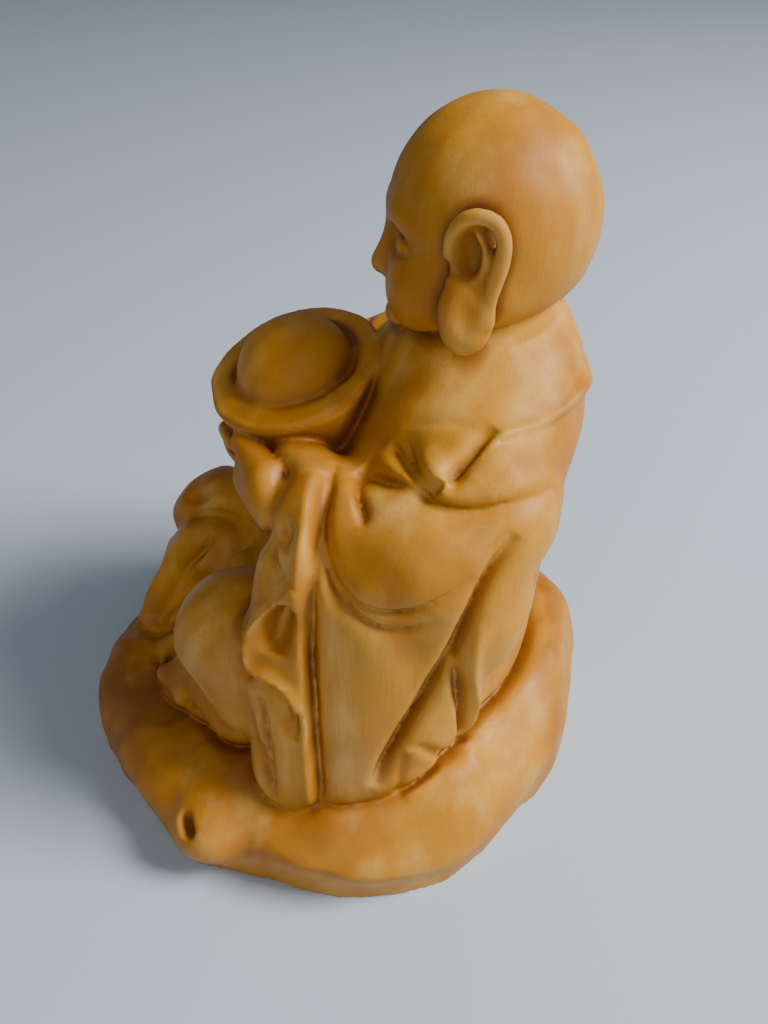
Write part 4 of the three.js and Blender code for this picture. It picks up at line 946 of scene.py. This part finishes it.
def boxwood(colours):
    """Carved boxwood, scraped smooth with a knife, lightly oiled and rubbed."""
    material = bpy.data.materials.new("boxwood_scraped_oiled")
    material.use_nodes = True
    tree = material.node_tree
    tree.nodes.clear()
    place = add_node(tree, "ShaderNodeTexCoord").outputs["Object"]
    mm = add_node(tree, "ShaderNodeMapping", {"Scale": (1000, 1000, 1000)}, {"Vector": place}).outputs[0]

    def noise(size, detail, stretch=1.0, roughness=0.5):
        """Noise with features of about that size in mm; stretch lengthens them along the grain."""
        scaled = add_node(tree, "ShaderNodeMapping", {"Scale": (1, 1, 1 / stretch)}, {"Vector": mm})
        settings = {"Scale": 1 / size, "Detail": detail, "Roughness": roughness}
        return add_node(tree, "ShaderNodeTexNoise", settings, {"Vector": scaled.outputs[0]}).outputs["Fac"]

    def attribute(name):
        return add_node(tree, "ShaderNodeAttribute", {"attribute_name": name}).outputs["Fac"]

    hollow, ridge, stained = attribute("hollow"), attribute("ridge"), attribute("stain")
    # clouds in two sizes, longer along the grain
    clouds, small_clouds = noise(CLOUD, 3, 1.8), noise(SMALL_CLOUD, 3, 2.5)
    tone = blend_colour(tree, spread(tree, clouds, 0.38, 0.72, 0, 0.8), colours.wood, colours.deep)
    tone = blend_colour(tree, spread(tree, small_clouds, 0.45, 0.8, 0, 0.45), tone, colours.pale)
    # wavering growth rings
    shifted = add_node(tree, "ShaderNodeMapping", {"Location": RING_SHIFT}, {"Vector": mm}).outputs[0]
    settings = {"wave_type": "RINGS", "rings_direction": "Z", "Scale": RING_SCALE}
    settings.update({"Distortion": 2.4, "Detail": 2, "Detail Scale": 0.5})
    rings = add_node(tree, "ShaderNodeTexWave", settings, {"Vector": shifted}).outputs["Fac"]
    tone = blend_colour(tree, spread(tree, rings, 0.45, 1.0, 0, 0.16), tone, colours.deep)
    # fibres along the grain
    fibre = noise(FIBRE, 2, FIBRE_STRETCH, 0.6)
    tone = blend_colour(tree, spread(tree, fibre, 0.5, 0.7, 0, 0.27), tone, colours.deep)
    # deeper beside the folds and dark in the cuts: painted shade, with some old wax and dust; lighter where
    # hands have worn the ridges
    tone = blend_colour(tree, spread(tree, hollow, 0.02, 0.32, 0, 0.6), tone, colours.deep)
    tone = blend_colour(tree, spread(tree, hollow, 0.12, 0.75, 0, 0.8), tone, colours.recess_shade_and_wax)
    tone = blend_colour(tree, spread(tree, ridge, 0.25, 0.8, 0, 0.42), tone, colours.pale)
    tone = blend_colour(tree, stained, tone, colours.stain)
    # shallow scraper marks and the fibres
    parts = {0: fibre, 2: noise(SCRAPE, 4, 2.0)}
    relief = add_node(tree, "ShaderNodeMath", {"operation": "MULTIPLY_ADD", 1: 0.6}, parts).outputs[0]
    bump = add_node(tree, "ShaderNodeBump", {"Strength": 0.35, "Distance": RELIEF}, {"Height": relief})
    gloss = spread(tree, noise(SHEEN, 3), 0.3, 0.7, 0.46, 0.60)
    shader = add_node(
        tree,
        "ShaderNodeBsdfPrincipled",
        {"Specular IOR Level": 0.3, "IOR": 1.5},
        {"Base Color": tone, "Roughness": gloss, "Normal": bump.outputs[0]},
    )
    add_node(tree, "ShaderNodeOutputMaterial", links={"Surface": shader.outputs[0]})
    return material


def floor_paint(colours):
    """Pale matt studio floor paint."""
    material = bpy.data.materials.new("studio_floor_paint")
    material.use_nodes = True
    shader = material.node_tree.nodes["Principled BSDF"]
    shader.inputs["Base Color"].default_value = (*colours.floor, 1)
    shader.inputs["Roughness"].default_value = 0.9
    shader.inputs["Specular IOR Level"].default_value = 0.1
    return material


# Operators
STAINS = [  # place and reach of each reddish patch, in mm, and how strong it is
    [[8, -27, 9], 8, 0.5],
    [[-6, -30, 8], 8, 0.4],
    [[19, -12, 11], 5, 0.45],
    [[26.4, -4.2, 10.6], 4.6, 0.38],
]


def surface_marks(field, points, normals):
    """How hollow and how ridged the surface is around each point, from 0 to 1."""
    hollow, ridge = np.zeros(len(points)), np.zeros(len(points))
    # The hollow mark sets painted shade in folds and cuts, with some old wax and dust; the ridge mark sets
    # worn, lighter edges.
    for reach, share in ((0.7, 0.5), (2.0, 0.5)):
        out = field(*(points + normals * reach).T)
        under = field(*(points - normals * reach).T)
        hollow += share * np.clip((reach - out) / reach, 0, 1)
        ridge += share * np.clip((under + reach) / reach, 0, 1)
    return hollow, ridge * np.clip(1 - 2.5 * hollow, 0, 1)


def stain_marks(points):
    """How strongly each point is stained, from 0 to 1."""
    x, y, z = points.T
    wander = 0.25 * np.sin(x * 0.9 + 1.3 * np.sin(y * 0.7))
    wander += 0.2 * np.sin(y * 1.3 + z * 0.8 + 0.7 * np.sin(x * 1.9))
    mark = np.zeros(len(points))
    for centre, reach, strength in STAINS:
        r = np.linalg.norm(points - np.array(centre), axis=1) / reach + 0.5 * wander
        mark = np.maximum(mark, strength * np.clip(1.4 - 1.4 * r, 0, 1))
    return mark


class FIGURE_OT_carve(bpy.types.Operator):
    """Carve the seated figure with its rock from one piece of boxwood"""

    bl_idname = "figure.carve"
    bl_label = "Carve the figure"

    def execute(self, context):
        sizes = context.scene.figure_sizes
        cell = 1000 * sizes.grid * 1
        field = carving_field()
        values = sample(field, cell)
        untangle(values, cell)
        points, faces = largest_shell(*surface(values, cell))
        points[:, 2] = np.maximum(points[:, 2], 0)
        middle = (points.min(0) + points.max(0)) / 2 * (1, 1, 0)

        mesh = bpy.data.meshes.new("carved_figure")
        mesh.from_pydata((0.001 * (points - middle)).tolist(), [], faces.tolist())
        piece = bpy.data.objects.new("carved_figure", mesh)
        context.collection.objects.link(piece)
        bpy.ops.object.select_all(action="DESELECT")
        piece.select_set(True)
        context.view_layer.objects.active = piece
        triangles = 2 * len(faces)
        if triangles > sizes.faces:
            thinner = piece.modifiers.new("thinner", "DECIMATE")
            thinner.ratio = sizes.faces / triangles
            bpy.ops.object.modifier_apply(modifier=thinner.name)
        bpy.ops.object.shade_smooth()

        mesh = piece.data
        count = len(mesh.vertices)
        place, normal = np.empty(3 * count), np.empty(3 * count)
        mesh.vertices.foreach_get("co", place)
        mesh.vertices.foreach_get("normal", normal)
        place, normal = place.reshape(-1, 3) * 1000 + middle, normal.reshape(-1, 3)
        hollow, ridge = surface_marks(field, place, normal)
        for name, marks in (("hollow", hollow), ("ridge", ridge), ("stain", stain_marks(place))):
            mesh.attributes.new(name, "FLOAT", "POINT").data.foreach_set("value", marks.astype(np.float32))
        mesh.materials.append(boxwood(context.scene.figure_colours))
        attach(piece, "root")
        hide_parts(NODE)
        return {"FINISHED"}


# The stage, in metres and watts
CAMERA_AIM = (-0.0005, 0.0062, 0.034)
SENSOR = 36  # millimetres
FLOOR_SIZE = 6
LIGHTS = [  # name, place, size, power, colour
    ["window", (0.08, 0.40, 0.40), 0.20, 5.6, (1.0, 0.98, 0.92)],
    ["fill", (0.50, -0.05, 0.40), 0.50, 1.2, (1.0, 0.97, 0.92)],
]
SKY = (0.74, 0.82, 0.92, 1)
SKY_STRENGTH = 0.2


def soft_light(name, place, aim, size, power, colour):
    """A square soft box that faces a point."""
    lamp = bpy.data.lights.new(name, "AREA")
    lamp.size, lamp.energy, lamp.color = size, power, colour
    box = bpy.data.objects.new(name, lamp)
    box.location = place
    box.rotation_euler = (Vector(place) - Vector(aim)).to_track_quat("Z", "Y").to_euler()
    bpy.context.collection.objects.link(box)


class FIGURE_OT_stage(bpy.types.Operator):
    """Set up the camera, the pale floor and the soft light"""

    bl_idname = "figure.stage"
    bl_label = "Set the stage"

    def execute(self, context):
        aim = Vector(CAMERA_AIM)
        lift = math.radians(VIEW_LIFT)
        back = Vector((math.cos(lift), 0, math.sin(lift)))
        lens = bpy.data.cameras.new("camera")
        lens.sensor_width = SENSOR
        lens.lens = SENSOR * VIEW_LENS / (2 * VIEW_MIDDLE[1])
        lens.sensor_fit = "AUTO"
        lens.clip_start = 0.005
        camera = bpy.data.objects.new("camera", lens)
        camera.location = aim + VIEW_DISTANCE / 1000 * back
        camera.rotation_euler = back.to_track_quat("Z", "Y").to_euler()
        context.collection.objects.link(camera)
        context.scene.camera = camera

        bpy.ops.mesh.primitive_plane_add(size=FLOOR_SIZE, location=(0, 0, 0))
        floor = context.active_object
        floor.name = "studio_floor"
        floor.data.materials.append(floor_paint(context.scene.figure_colours))

        for name, place, size, power, colour in LIGHTS:
            soft_light(name, place, aim, size, power, colour)
        world = bpy.data.worlds.new("studio")
        world.use_nodes = True
        sky = world.node_tree.nodes["Background"]
        sky.inputs["Color"].default_value = SKY
        sky.inputs["Strength"].default_value = SKY_STRENGTH
        context.scene.world = world
        return {"FINISHED"}


class FIGURE_PT_panel(bpy.types.Panel):
    """The steps and settings of the carved figure"""

    bl_idname = "FIGURE_PT_panel"
    bl_label = "Carved Boxwood Figure"
    bl_space_type = "VIEW_3D"
    bl_region_type = "UI"
    bl_category = "Figure"

    def draw(self, context):
        layout = self.layout
        for group in (context.scene.figure_sizes, context.scene.figure_colours):
            for name in group.__annotations__:
                layout.prop(group, name)
        layout.operator(FIGURE_OT_stage.bl_idname)
        layout.operator(FIGURE_OT_carve.bl_idname)


CLASSES = (FigureSizes, FigureColours, FIGURE_OT_stage, FIGURE_OT_carve, FIGURE_PT_panel)


def register():
    for cls in CLASSES:
        bpy.utils.register_class(cls)
    bpy.types.Scene.figure_sizes = bpy.props.PointerProperty(type=FigureSizes)
    bpy.types.Scene.figure_colours = bpy.props.PointerProperty(type=FigureColours)


def unregister():
    del bpy.types.Scene.figure_colours
    del bpy.types.Scene.figure_sizes
    for cls in reversed(CLASSES):
        bpy.utils.unregister_class(cls)


def main():
    register()
    bpy.ops.figure.stage()
    bpy.ops.figure.carve()


if __name__ == "__main__":
    main()
